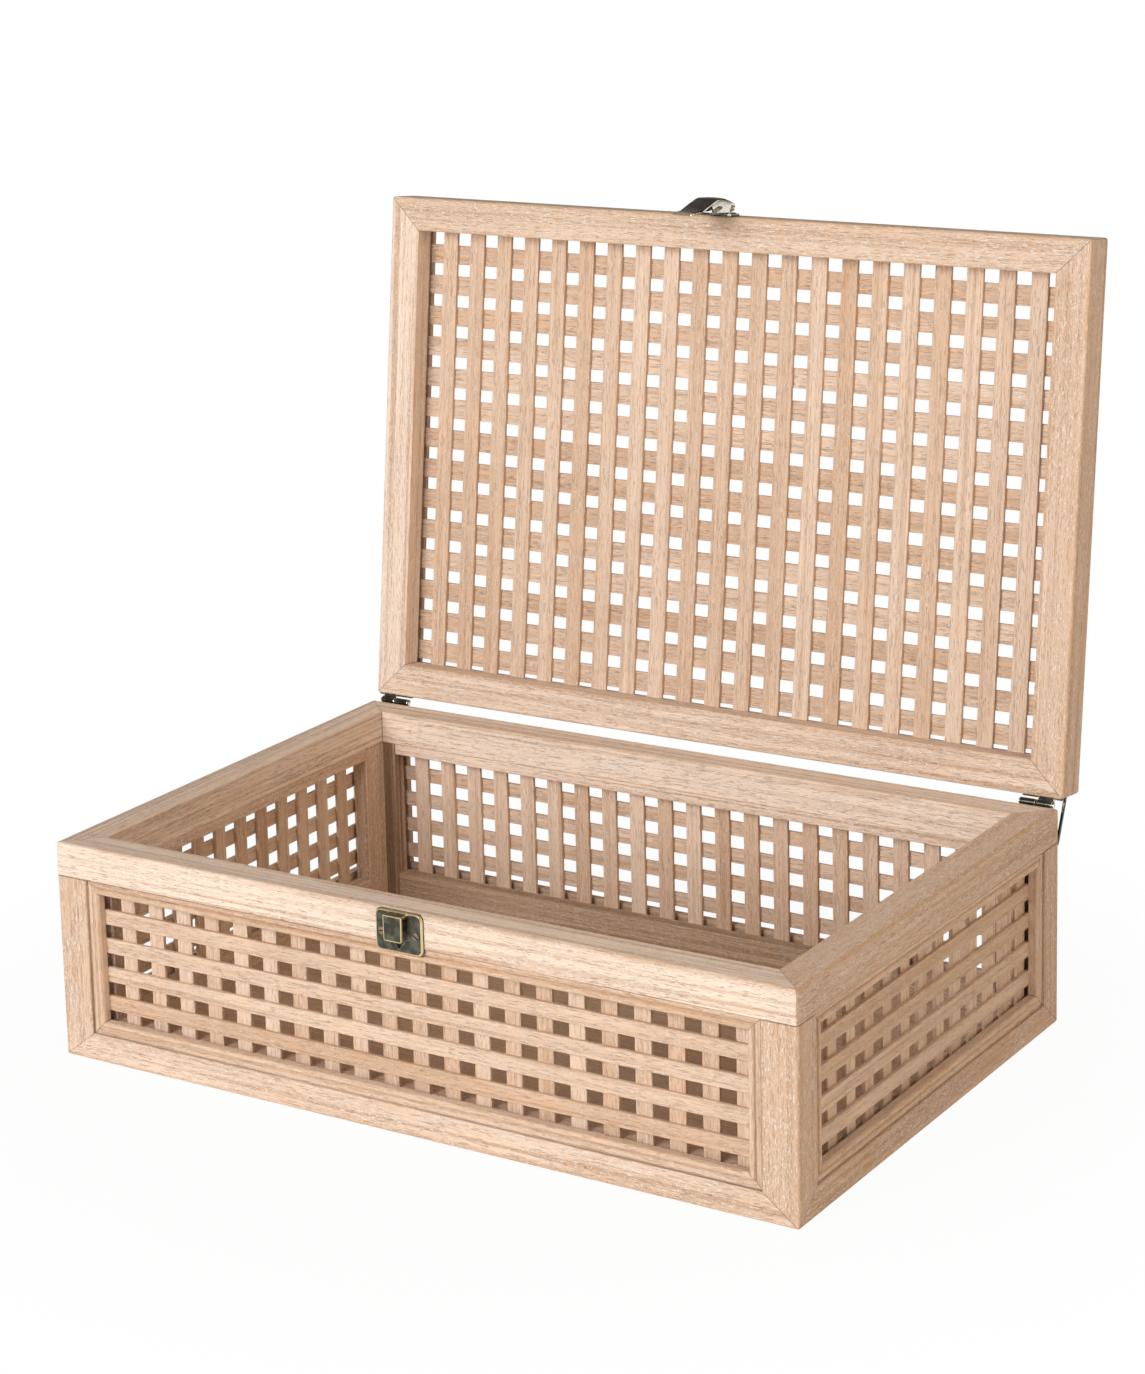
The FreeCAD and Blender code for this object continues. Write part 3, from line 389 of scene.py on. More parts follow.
class EndCut(Enum):
    """How a length ends: set-backs of its rings, their seam shade or wear, and their draw-in."""

    HIDDEN = ((0.0,), (0.0,), (0.0,))
    JOINT = ((0.0, 0.22, 0.5), (1.0, 0.3, 0.0), (0.1, 0.0, 0.0))
    CORNER = ((0.0, 0.22, 0.5, 1.0, 1.4, 2.6), (1.0, 0.3, 0.0, 0.0, 0.0, 0.0), (0.1,) + (0.0,) * 5)
    ROUNDED = ((0.0, 0.09, 0.3, 0.6), (0.6, 1.0, 1.0, 0.0), (0.3, 0.09, 0.0, 0.0))


@dataclass(frozen=True)
class Outline:
    """Closed cross-section: its points across the length, and the wear and the mark of dark joints and
    painted shade at each.
    """

    points: np.ndarray
    wear: np.ndarray
    seam: np.ndarray

    def drawn_in(self, depth: float) -> np.ndarray:
        """Points moved inwards.

        Each point moves along the mean of the normals of its two sides, lengthened by one over
        the cosine of half their turn, so that both sides move in by the depth.

        Args:
            depth: How far the sides move, in millimetres.

        Returns:
            The moved points.
        """
        onward = np.roll(self.points, -1, axis=0) - self.points
        onward /= np.linalg.norm(onward, axis=1, keepdims=True)
        side = np.stack([-onward[:, 1], onward[:, 0]], axis=1)
        x, y = self.points.T
        area = np.sum(x * np.roll(y, -1) - np.roll(x, -1) * y)
        both = side + np.roll(side, 1, axis=0)
        both *= 2.0 / np.maximum(np.sum(both * both, axis=1, keepdims=True), 0.5)
        return self.points + depth * np.sign(area) * both


def eased_outline(corners: Sequence[tuple[float, float, Edge]]) -> Outline:
    """Outline of straight sides with eased corners.

    Each corner gives way to points set back from it along its two sides, by its edge's set-backs.

    Args:
        corners: Place of each corner and the kind of edge that it carries.

    Returns:
        The closed outline.
    """
    spots = np.array([corner[:2] for corner in corners], float)
    toward = spots - np.roll(spots, 1, axis=0)
    toward /= np.linalg.norm(toward, axis=1, keepdims=True)
    onward = np.roll(toward, -1, axis=0)
    points, wear, seam = [], [], []
    for spot, come, go, (_, _, edge) in zip(spots, toward, onward, corners):
        back, worn, dark = (np.array(part) for part in edge.value)
        last = len(back) - 1 if back[-1] == 0 else len(back)
        points += [spot - np.outer(back, come), spot + np.outer(back[:last][::-1], go)]
        wear += [worn, worn[:last][::-1]]
        seam += [dark, dark[:last][::-1]]
    return Outline(np.concatenate(points), np.concatenate(wear), np.concatenate(seam))


def rect_outline(low: Pair, high: Pair, *edges: Edge) -> Outline:
    """Rectangular outline with eased corners.

    Args:
        low: Its corner with the smallest coordinates.
        high: Its corner with the largest ones.
        edges: Edge of each corner, from low by way of (high, low), or one edge for all.

    Returns:
        The closed outline.
    """
    corners = (low, (high[0], low[1]), high, (low[0], high[1]))
    return eased_outline([(*spot, edge) for spot, edge in zip(corners, edges * (4 // len(edges)))])


@dataclass
class Shell:
    """Closed surface with what each of its points carries."""

    points: np.ndarray
    quads: np.ndarray
    caps: list[list[int]]
    marks: dict[str, np.ndarray]

    def placed(self, placing: Placing) -> "Shell":
        """The shell with its points put elsewhere."""
        return Shell(placing(self.points), self.quads, self.caps, self.marks)

    def faces(self) -> list[list[int]]:
        """Faces that point outwards.

        The sum over all faces of the signed volume under each fan triangle tells which way they
        point, and all are turned where it is below zero.

        Returns:
            Every face as a list of points.
        """
        made = self.quads.tolist() + self.caps
        corner = self.points[self.quads] - self.points.mean(axis=0)
        volume = np.einsum("ij,ij->", corner[:, 0], np.cross(corner[:, 1], corner[:, 2]))
        volume += np.einsum("ij,ij->", corner[:, 0], np.cross(corner[:, 2], corner[:, 3]))
        for cap in self.caps:
            fan = self.points[cap] - self.points.mean(axis=0)
            volume += np.einsum("j,ij->", fan[0], np.cross(fan[1:-1], fan[2:]))
        return [face[::-1] for face in made] if volume < 0 else made


def tube(rings: np.ndarray, marks: dict[str, np.ndarray]) -> Shell:
    """Closed surface through a grid of rings, with a flat cap on the first and the last.

    Args:
        rings: Points by ring and place in the ring.
        marks: What each point carries.

    Returns:
        The closed shell.
    """
    count, around = rings.shape[:2]
    ring, spot = np.meshgrid(np.arange(count - 1), np.arange(around), indexing="ij")
    here, beside = ring * around + spot, ring * around + (spot + 1) % around
    quads = np.stack([here, beside, beside + around, here + around], axis=-1).reshape(-1, 4)
    last = (count - 1) * around
    caps = [list(range(around))[::-1], list(range(last, last + around))]
    return Shell(rings.reshape(-1, 3), quads, caps, marks)


def carried(outline: Outline, start: Cut, end: Cut, ends: EndCut) -> tuple[Shell, np.ndarray]:
    """Cross-section carried along X between two end cuts.

    Ring i of the first half lies at X = start(y, z) + set-back i, and ring i of the second half at
    X = end(y, z) - set-back i, with Y and Z from the outline drawn in by the ring's own depth.

    Args:
        outline: Cross-section across the length.
        start: X of the start cut over the cross-section.
        end: X of the end cut over the cross-section.
        ends: How both ends are finished.

    Returns:
        The closed shell without marks, and the end's shade at each of its points.
    """
    backs, shades, draws = (np.array(part) for part in ends.value)
    count, around = len(backs), len(outline.points)
    half = np.stack([outline.drawn_in(draw) for draw in draws])
    across = np.concatenate([half, half[::-1]])
    y, z = across[..., 0], across[..., 1]
    x = np.concatenate([start(y[:count], z[:count]) + backs[:, None],
                        end(y[count:], z[count:]) - backs[::-1, None]])
    return tube(np.stack([x, y, z], axis=-1), {}), np.repeat(np.concatenate([shades, shades[::-1]]), around)


def board(outline: Outline, start: Cut, end: Cut, ends: EndCut, rng: np.random.Generator,
          tone: float = 0.0, painted_shade: float = 0.0) -> Shell:
    """Wooden length with its own grain, wear, seams and tone, whose tone and seam marks also carry painted
    light and shade.

    Args:
        outline: Cross-section across the board.
        start: X of the start cut over the cross-section.
        end: X of the end cut over the cross-section.
        ends: How both ends are finished.
        rng: Source of the board's own place in the timber and of its tone.
        tone: Tone about which the board's own one varies, 1 for pale and -1 for dark, which on some boards is
            painted light and shade.
        painted_shade: Share of the joints' dark colour that the whole board takes as painted shade.

    Returns:
        The closed board.
    """
    shell, shade = carried(outline, start, end, ends)
    rings = len(shell.points) // len(outline.points)
    shift = rng.uniform(-900.0, 900.0, 3)
    shell.marks.update(grain=(shell.points + shift) * MM, wear=np.tile(outline.wear, rings),
                       seam=np.maximum(np.maximum(shade, np.tile(outline.seam, rings)), painted_shade),
                       tone=np.full(len(shell.points), tone + rng.uniform(-0.5, 0.5)))
    return shell


def bar(outline: Outline, start: float, end: float, worn: float = 1.0) -> Shell:
    """Metal length between two square ends with rounded rims.

    Args:
        outline: Cross-section across the bar.
        start: X of its first end.
        end: X of its other end.
        worn: Share of the wear of its rims and edges.

    Returns:
        The closed bar.
    """
    shell, shade = carried(outline, at(start), at(end), EndCut.ROUNDED)
    rings = len(shell.points) // len(outline.points)
    shell.marks["wear"] = worn * np.maximum(shade, np.tile(outline.wear, rings))
    return shell


def skin(rings: np.ndarray, wear: Sequence[float]) -> Shell:
    """Closed metal surface through rings of points, with one wear for each ring."""
    return tube(rings, {"wear": np.repeat(wear, rings.shape[1])})


def turned_bar(profile: Steps, around: int = 24) -> Shell:
    """Round piece about X.

    At each step of the profile, Y = radius times cos t and Z = radius times sin t.

    Args:
        profile: Place along X, radius and wear at each step.
        around: Points in each ring.

    Returns:
        The closed shell.
    """
    x, radius, wear = np.array(profile, float).T
    t = np.linspace(0.0, 2 * np.pi, around, endpoint=False)
    rings = np.stack([np.repeat(x[:, None], around, axis=1), np.outer(radius, np.cos(t)),
                      np.outer(radius, np.sin(t))], axis=-1)
    return skin(rings, wear)


KNUCKLE_RIM = ((0.0, 0.3, 0.0), (0.1, 0.1, 0.4), (0.3, 0.0, 0.5), (0.8, 0.0, 0.1))


def knuckle(start: float, end: float, radius: float) -> Shell:
    """Rolled knuckle about X.

    Its rims follow KNUCKLE_RIM: set-back from the end, set-back from the radius, and wear.

    Args:
        start: X of its first end.
        end: X of its other end.
        radius: Its radius.

    Returns:
        The closed shell.
    """
    first = [(start + back, radius - drop, wear) for back, drop, wear in KNUCKLE_RIM]
    other = [(end - back, radius - drop, wear) for back, drop, wear in KNUCKLE_RIM[::-1]]
    return turned_bar(first + other)


def pin_heads(end: float, height: float, radius: float, worn: float, neck: Steps = ()) -> list[Shell]:
    """Domed heads on both ends of a pin about X.

    Args:
        end: Distance of each head's seat from the middle.
        height: Height of each head.
        radius: Radius of each head.
        worn: Wear at the seats.
        neck: Place, radius and wear at steps before the seat.

    Returns:
        The two closed heads.
    """
    rim, tip_share = 0.35, 0.6
    dome = [*neck, (end, radius, worn), (end + rim, radius, 1.0), (end + height, radius * tip_share, 1.0)]
    return [turned_bar([(side * x, r, wear) for x, r, wear in dome]) for side in (-1, 1)]


def round_rect(half: Pair, radius: float, inset: float, steps: int = 6) -> np.ndarray:
    """Rounded rectangle about the origin.

    Quarter arcs of radius - inset about the four corner middles, joined in order.

    Args:
        half: Half its width and half its height before the inset.
        radius: Radius of its corners before the inset.
        inset: How far it is drawn in.
        steps: Points in each corner.

    Returns:
        Its points in order.
    """
    t = np.linspace(0.0, np.pi / 2, steps)[None, :] + np.arange(4)[:, None] * np.pi / 2
    middle = np.array([(1, 1), (-1, 1), (-1, -1), (1, -1)]) * (np.array(half) - radius)
    arm = max(radius - inset, 0.05)
    arcs = middle[:, None, :] + arm * np.stack([np.cos(t), np.sin(t)], axis=-1)
    return arcs.reshape(-1, 2)


def flat_rings(steps: Steps, ring: Callable[[float], np.ndarray]) -> tuple[np.ndarray, np.ndarray]:
    """Flat rings in X and Z, one for each step.

    Args:
        steps: Inset, Y and wear of each ring.
        ring: Gives a ring's points in X and Z at an inset.

    Returns:
        The rings and their wear.
    """
    return (np.stack([np.insert(ring(inset), 1, y, axis=1) for inset, y, _ in steps]),
            np.array([wear for _, _, wear in steps]))


def bevel_steps(thick: float, bevel: float, flat: float) -> Steps:
    """Inset, Y and wear of a plate's rings from its back edge round a low dome of a bevel to its face."""
    dip = 0.35 * bevel
    return [(0.0, 0.0, 0.0), (0.0, bevel - thick, 0.5), (bevel / 2, dip - thick, 1.0), (bevel, -thick, 1.0),
            (bevel + flat, -thick, 0.0)]


def plate(centre: Pair, half: Pair, radius: float, thick: float, bevel: float) -> Shell:
    """Flat plate with rounded corners and a worn bevel, in X and Z, whose face lies at Y = -thick.

    Args:
        centre: Its middle.
        half: Half its width and half its height.
        radius: Radius of its corners.
        thick: Its thickness.
        bevel: Width of the bevel round its face.

    Returns:
        The closed plate.
    """
    rim_flat = 0.35
    return skin(*flat_rings(bevel_steps(thick, bevel, rim_flat),
                            lambda inset: round_rect(half, radius, inset) + centre))


HEAD_DISC = ((-0.3, 1.0, 0.0), (0.06, 1.0, 0.2), (0.08, 0.9, 0.0))
HEAD_DOME = ((0.0, 1.0, 0.0), (0.22, 1.0, 0.6), (0.36, 0.93, 1.0), (0.46, 0.7, 0.8), (0.5, 0.4, 0.7))
SLOT_HALF = 0.34
CHORD_POINTS = 14


def screw_head(centre: Pair, face: float, radius: float, turn: float) -> list[Shell]:
    """Slotted head seen from -Y: a sunk disc and two domed halves above it.

    Each half is a D whose chord stands half a slot from the middle. Its rings shrink as they rise.
    HEAD_DISC and HEAD_DOME give the height, the share of the radius and the wear of each ring.

    Args:
        centre: Its middle in X and Z.
        face: Y of the face that it stands on.
        radius: Its radius.
        turn: Turn of the slot, in degrees.

    Returns:
        The closed shells.
    """
    c, s = np.cos(np.radians(turn)), np.sin(np.radians(turn))

    def seat(p: np.ndarray) -> np.ndarray:
        """Head coordinates, with Y outwards, to the plate's."""
        return np.stack([centre[0] + c * p[:, 0] - s * p[:, 2], face - p[:, 1],
                         centre[1] + s * p[:, 0] + c * p[:, 2]], axis=1)

    disc = turned_bar([(rise, radius * share, wear) for rise, share, wear in HEAD_DISC])
    shells = [disc.placed(lambda p: seat(p[:, [1, 0, 2]]))]
    for side in (1.0, -1.0):
        rings = []
        for rise, share, _ in HEAD_DOME:
            reach = radius * share
            t = np.linspace(-1.0, 1.0, CHORD_POINTS) * np.arccos(min(SLOT_HALF / reach, 0.99))
            rings.append(np.stack([reach * np.sin(t), np.full(CHORD_POINTS, rise), side * reach * np.cos(t)],
                                  axis=1))
        shells.append(skin(np.stack(rings), [wear for _, _, wear in HEAD_DOME]).placed(seat))
    return shells


def wire(path: np.ndarray, normal: np.ndarray, radius: float, worn: float = 0.35, around: int = 12) -> Shell:
    """Round wire along a flat path.

    Each ring is the path's point plus radius times (cos t times the side + sin t times the normal),
    where the side is square to the run and to the normal.

    Args:
        path: Points of the wire's middle line.
        normal: Unit normal of the path's plane.
        radius: Radius of the wire.
        worn: Its wear.
        around: Points in each ring.

    Returns:
        The closed wire.
    """
    run = np.gradient(path, axis=0)
    run /= np.linalg.norm(run, axis=1, keepdims=True)
    side = np.cross(normal, run)
    t = np.linspace(0.0, 2 * np.pi, around, endpoint=False)
    rings = path[:, None] + radius * (np.cos(t)[None, :, None] * side[:, None]
                                      + np.sin(t)[None, :, None] * normal[None, None])
    return skin(rings, np.full(len(path), worn))


def at(place: float) -> Cut:
    """Square end cut at one X."""
    return lambda y, z: np.full_like(y, place)


def eased_block(points: np.ndarray, low: np.ndarray, high: np.ndarray, radius: float) -> np.ndarray:
    """Points kept inside a block with rounded edges.

    What of a point lies past the block shrunk by the radius is scaled down to the radius where
    it is longer, which draws edges and corners back onto a round.

    Args:
        points: Points to keep inside.
        low: The block's low corner.
        high: The block's high corner.
        radius: Radius of its edges.

    Returns:
        The points, drawn in near the edges.
    """
    middle, half = (low + high) / 2, (high - low) / 2 - radius
    side = points - middle
    past = np.maximum(np.abs(side) - half, 0.0)
    length = np.linalg.norm(past, axis=1, keepdims=True)
    held = past * np.minimum(1.0, radius / np.maximum(length, 1e-9))
    return middle + np.sign(side) * (np.minimum(np.abs(side), half) + held)


def make_piece(node: str, shells: Sequence[Shell], finishes: dict[Slot, bpy.types.Material], body: str,
               slot: Slot) -> None:
    """Turn shells into the piece that replaces one node of the frame.

    Args:
        node: The node's name, which the piece's own name ends with.
        shells: The piece's closed surfaces, in millimetres.
        finishes: Materials by slot.
        body: Body that it rides on.
        slot: Slot of its finish.
    """
    slot_name, stock = slot.value
    name = f"{stock}_{node}"
    starts = np.cumsum([0] + [len(shell.points) for shell in shells])
    faces = [[spot + int(start) for spot in face]
             for shell, start in zip(shells, starts) for face in shell.faces()]
    mesh = bpy.data.meshes.new(name)
    mesh.from_pydata(np.concatenate([shell.points for shell in shells]) * MM, [], faces)
    for mark in shells[0].marks:
        numbers = np.concatenate([shell.marks[mark] for shell in shells]).astype(np.float32)
        kind, key = ("FLOAT_VECTOR", "vector") if mark == "grain" else ("FLOAT", "value")
        mesh.attributes.new(mark, kind, "POINT").data.foreach_set(key, numbers.ravel())
    mesh.polygons.foreach_set("use_smooth", np.ones(len(faces), bool))
    mesh.set_sharp_from_angle(angle=SMOOTH_ANGLE)
    mesh.materials.append(finishes[slot])
    piece = bpy.data.objects.new(name, mesh)
    bpy.context.scene.collection.objects.link(piece)
    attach(piece, body)
    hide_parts(node)
    log.info("%s: %d faces on %s", name, len(faces), body)


# Box

class Side(Enum):
    """Walls, by the quarter turns from the front one."""

    FRONT = 0
    RIGHT = 1
    BACK = 2
    LEFT = 3

    @property
    def is_long(self) -> bool:
        """Whether the wall runs along the width."""
        return self in (Side.FRONT, Side.BACK)

    @property
    def tag(self) -> str:
        """The wall's word in the frame's names."""
        return self.name.lower()


def turned(quarter: int, corner: Pair) -> Placing:
    """Placing that turns about Z by quarter turns and moves the origin to a corner."""
    c, s = ((1, 0), (0, 1), (-1, 0), (0, -1))[quarter]
    return lambda p: np.stack([corner[0] + c * p[:, 0] - s * p[:, 1],
                               corner[1] + s * p[:, 0] + c * p[:, 1], p[:, 2]], axis=1)


def upright(points: np.ndarray) -> np.ndarray:
    """Board coordinates to wall coordinates for a board that runs up."""
    return points[:, [1, 2, 0]]


def corners(x: float, front: float, back: float) -> dict[Side, Pair]:
    """Corner that each side starts from, of a block from -x to x and from front to back."""
    return {Side.FRONT: (-x, front), Side.RIGHT: (x, front), Side.BACK: (x, back), Side.LEFT: (-x, back)}


@dataclass
class Moulding:
    """Stepped moulding: a flat strip, a groove and a round bead, mitred round an opening."""

    width: float = 6.0
    inset: float = 0.4
    flat: float = 2.2
    flat_depth: float = 0.9
    groove: float = 0.9
    groove_depth: float = 1.6
    bead_rise: float = 1.5
    bead_points: int = 11
    rim: Pair = (0.25, 0.3)
    plain: float = 0.8
    ease: float = 0.2

    def outline(self, back: float) -> Outline:
        """Cross-section of the strip.

        The bead is half an ellipse between the groove and the lip: across = middle - half width
        times cos t and depth = inset + rise times (1 - sin t) as t runs from 0 to pi.

        Args:
            back: Depth of the strip's back.

        Returns:
            Points across the strip from its outer edge, and in depth from the face.
        """
        low, depth = self.flat + self.groove, self.flat_depth
        middle, half = (low + self.width) / 2, (self.width - low) / 2
        t = np.linspace(0.0, np.pi, self.bead_points)
        bead = np.stack([middle - half * np.cos(t), self.inset + self.bead_rise * (1 - np.sin(t))], axis=1)
        flat = np.array([(0.0, back), (0.0, depth + self.rim[1]), (self.rim[0], depth), (self.plain, depth),
                         (self.flat - self.ease, depth), (self.flat, depth + self.ease),
                         (self.flat + self.groove / 2, self.groove_depth)])
        wear = np.concatenate([(0, 0.4, 0.6, 0, 0.4, 0.4, 0), 0.35 * np.sin(t), (0,)])
        # The seam marks at the strip's back edge are dark joints; the 0.15 at the groove's bottom point is
        # painted shade in the groove.
        seam = np.concatenate([(0.55, 0.35, 0.0, 0, 0, 0.0, 0.15), np.zeros(self.bead_points + 1)])
        return Outline(np.concatenate([flat, bead, [(self.width, back)]]), wear, seam)

    def frame(self, low: Pair, high: Pair, back: float, rng: np.random.Generator) -> list[Shell]:
        """Four mitred strips round an opening.

        Args:
            low: Low corner of the frame in its plane.
            high: High corner of the frame in its plane.
            back: Depth of the strips' backs.
            rng: Source of the boards' grain.

        Returns:
            The strips, with X and Z in the frame's plane and Y as depth.
        """
        strips = []
        outline = self.outline(back)
        for upright_run, flip in ((False, False), (True, True), (False, True), (True, False)):
            along, side = (1, 0) if upright_run else (0, 1)
            start, end = low[along], high[along]
            edge, sense = (high[side], -1.0) if flip else (low[side], 1.0)
            strip = board(outline, lambda y, z, s=start: s + y, lambda y, z, e=end: e - y, EndCut.JOINT, rng)
            order = (1, 2, 0) if upright_run else (0, 2, 1)

            def seat(p: np.ndarray, edge: float = edge, sense: float = sense,
                     order: tuple[int, int, int] = order) -> np.ndarray:
                """Strip coordinates to the plane's."""
                across = np.stack([p[:, 0], edge + sense * p[:, 1], p[:, 2]], axis=1)
                return across[:, list(order)]

            strips.append(strip.placed(seat))
        return strips


@dataclass
class Body:
    """Fixed box: top ring, four slatted walls and floor."""

    finishes: Finishes
    width: float = 380.0
    depth: float = 257.0
    height: float = 103.0
    wall: float = 16.5
    ring: float = 16.0
    round: float = 1.4
    play: float = 0.1
    rebate: float = 9.0
    face: dict[bool, float] = field(default_factory=lambda: {True: 17.0, False: 16.0})
    inner: dict[bool, float] = field(default_factory=lambda: {True: 24.0, False: 32.0})
    foot_face: float = 13.5
    foot_inner: float = 17.8
    head: float = 5.5
    floor_thick: float = 5.0
    floor_edge: float = 11.5
    slat_thick: float = 2.0
    slat_front: float = 5.0
    cross_slat: float = 7.1
    cross_span: Pair = (27.7, 69.2)
    cross_count: int = 4
    upright_slat: dict[bool, float] = field(default_factory=lambda: {True: 7.9, False: 8.0})
    upright_ends: dict[bool, Pair] = field(default_factory=lambda: {True: (34.9, 27.7), False: (43.4, 25.9)})
    upright_count: dict[bool, int] = field(default_factory=lambda: {True: 21, False: 12})
    moulding: Moulding = field(default_factory=Moulding)
    post_tone: float = -0.7
    # The low tones of the posts' and foot rails' inner layers are painted shade of the box's inside.
    lap_tone: float = -1.6
    foot_tone: float = -1.4
    # Tone by side: the front, left and back rails paler and the right one darker, painted light and shade of
    # lamps from the front left, on top of each rail's own tone.
    ring_tone: dict[Side, float] = field(
        default_factory=lambda: {Side.FRONT: 1.2, Side.RIGHT: -0.3, Side.BACK: 0.9, Side.LEFT: 1.2})
    # painted_shade darkens the back wall's inner layers with the joints' dark colour: painted shade of the
    # box's shaded back inner corner.
    painted_shade: dict[Side, float] = field(
        default_factory=lambda: {Side.FRONT: 0.0, Side.RIGHT: 0.0, Side.BACK: 0.9, Side.LEFT: 0.0})

    def __post_init__(self) -> None:
        """Set the grain's random source and the corner that each wall starts from."""
        self.rng = np.random.default_rng(41)
        self.corner = corners(self.width / 2, -self.depth / 2, self.depth / 2)

    @property
    def top(self) -> float:
        """Height of the walls under the ring."""
        return self.height - self.ring

    def length(self, side: Side) -> float:
        """Length of a wall."""
        return self.width if side.is_long else self.depth

    def piece(self, name: str, side: Side, shells: Sequence[Shell], slot: Slot) -> None:
        """Place a wall's shells and make them one piece.

        Args:
            name: Name of the frame node that the piece replaces.
            side: Wall that it belongs to.
            shells: Its shells in wall coordinates.
            slot: Slot of its finish.
        """
        low = np.array([-self.width / 2, -self.depth / 2, 0.0])
        high = np.array([self.width / 2, self.depth / 2, self.height])
        seat = turned(side.value, self.corner[side])
        placed = [shell.placed(lambda p: eased_block(seat(p), low, high, self.round)) for shell in shells]
        make_piece(name, placed, self.finishes.by_slot, "box", slot)

    def top_rail(self, side: Side) -> None:
        """Mitred rail of the top ring."""
        length = self.length(side)
        outline = rect_outline((0, self.top), (self.wall, self.height), Edge.JOINED, Edge.ARRIS, Edge.SOFT,
                               Edge.OUTER)
        rail = board(outline, lambda y, z: y, lambda y, z: length - y, EndCut.CORNER, self.rng,
                     self.ring_tone[side])
        self.piece(f"top_rail_{side.tag}", side, [rail], Slot.RAIL)

    def post(self, side: Side, end: str) -> None:
        """Half-lapped post: an outer face mitred to the foot rail and a wider inner layer."""
        length, face, inner = self.length(side), self.face[side.is_long], self.inner[side.is_long]
        edge, deep = self.rebate, self.floor_edge
        slope = self.foot_face / face
        outer = eased_outline([(0, 0, Edge.OUTER), (face, 0, Edge.JOINED), (face, edge, Edge.SHARP),
                               (edge, edge, Edge.SHARP)])
        back = eased_outline([(edge, edge, Edge.SHARP), (inner, edge, Edge.SHARP),
                              (inner, self.wall, Edge.ARRIS), (self.wall, self.wall, Edge.SHARP)])
        toe = eased_outline([(edge, edge, Edge.SHARP), (inner, edge, Edge.SHARP), (inner, deep, Edge.SHARP),
                             (deep, deep, Edge.SHARP)])
        # The inner layer is darkened by its tone, and on the back wall by the painted shade: painted shade of
        # the box's inside.
        shells = [
            board(outer, lambda y, z: y * slope, at(self.top), EndCut.CORNER, self.rng, self.post_tone),
            board(back, at(self.floor_thick), at(self.top), EndCut.JOINT, self.rng, self.lap_tone,
                  self.painted_shade[side]),
            board(toe, at(0), at(self.floor_thick), EndCut.HIDDEN, self.rng),
        ]
        shells = [shell.placed(upright) for shell in shells]
        if end == "right":
            shells = [shell.placed(lambda p: p * (-1, 1, 1) + (length, 0, 0)) for shell in shells]
        self.piece(f"post_{side.tag}_{end}", side, shells, Slot.RAIL)

    def foot_rail(self, side: Side) -> None:
        """Foot rail: an outer face mitred to the posts and an inner layer between them."""
        length, face, inner = self.length(side), self.face[side.is_long], self.inner[side.is_long]
        edge = self.rebate
        slope = face / self.foot_face
        outer = rect_outline((0, 0), (edge, self.foot_face), Edge.OUTER, Edge.SHARP, Edge.SHARP, Edge.JOINED)
        back = rect_outline((edge, self.floor_thick), (self.wall, self.foot_inner), Edge.SHARP, Edge.SHARP,
                            Edge.ARRIS, Edge.THIN)
        toe = rect_outline((edge, 0), (self.floor_edge, self.floor_thick), Edge.SHARP)
        # The inner layer is darkened by its tone, and on the back wall by the painted shade: painted shade of
        # the box's inside.
        shells = [
            board(outer, lambda y, z: np.maximum(z * slope, y),
                  lambda y, z: length - np.maximum(z * slope, y), EndCut.CORNER, self.rng),
            board(back, at(inner), at(length - inner), EndCut.JOINT, self.rng, self.foot_tone,
                  self.painted_shade[side] / 2),
            board(toe, at(inner), at(length - inner), EndCut.HIDDEN, self.rng),
        ]
        self.piece(f"foot_rail_{side.tag}", side, shells, Slot.RAIL)

    def head_rail(self, side: Side) -> None:
        """Slim strip under the ring, behind the lattice."""
        length, inner = self.length(side), self.inner[side.is_long]
        outline = rect_outline((self.rebate, self.top - self.head), (self.wall, self.top), Edge.THIN,
                               Edge.ARRIS, Edge.SHARP, Edge.SHARP)
        strip = board(outline, at(inner), at(length - inner), EndCut.JOINT, self.rng)
        self.piece(f"head_rail_{side.tag}", side, [strip], Slot.RAIL)

    def mouldings(self, side: Side) -> None:
        """Moulding frame in the wall's rebate."""
        length, face = self.length(side), self.face[side.is_long]
        strips = self.moulding.frame((face + self.play, self.foot_face + self.play),
                                     (length - face - self.play, self.top - self.play),
                                     self.slat_front, self.rng)
        self.piece(f"moulding_{side.tag}", side, strips, Slot.MOULDING)

    def slats_across(self, side: Side) -> None:
        """Outer slats along the wall."""
        start, half = self.face[side.is_long] + self.play, self.cross_slat / 2
        front, back = self.slat_front, self.slat_front + self.slat_thick
        slats = [board(rect_outline((front, middle - half), (back, middle + half), Edge.THIN), at(start),
                       at(self.length(side) - start), EndCut.HIDDEN, self.rng)
                 for middle in np.linspace(*self.cross_span, self.cross_count)]
        self.piece(f"slats_across_{side.tag}", side, slats, Slot.SLAT)

    def slats_upright(self, side: Side) -> None:
        """Inner slats up the wall, spaced alike on facing walls."""
        length, half = self.length(side), self.upright_slat[side.is_long] / 2
        first, last = self.upright_ends[side.is_long]
        front = self.slat_front + self.slat_thick
        back = front + self.slat_thick
        middles = np.linspace(first, length - last, self.upright_count[side.is_long])
        if side in (Side.BACK, Side.LEFT):
            middles = length - middles
        slats = [board(rect_outline((middle - half, front), (middle + half, back), Edge.THIN),
                       at(self.foot_face + self.play), at(self.top - self.play), EndCut.HIDDEN,
                       self.rng).placed(upright) for middle in middles]
        self.piece(f"slats_upright_{side.tag}", side, slats, Slot.SLAT)

    def floor(self) -> None:
        """Floor panel in its rebate."""
        lap = self.floor_edge + self.play
        x, y = self.width / 2 - lap, self.depth / 2 - lap
        outline = rect_outline((-y, 0), (y, self.floor_thick), Edge.ARRIS, Edge.ARRIS, Edge.SHARP, Edge.SHARP)
        panel = board(outline, at(-x), at(x), EndCut.HIDDEN, self.rng)
        make_piece("floor", [panel], self.finishes.by_slot, "box", Slot.PANEL)

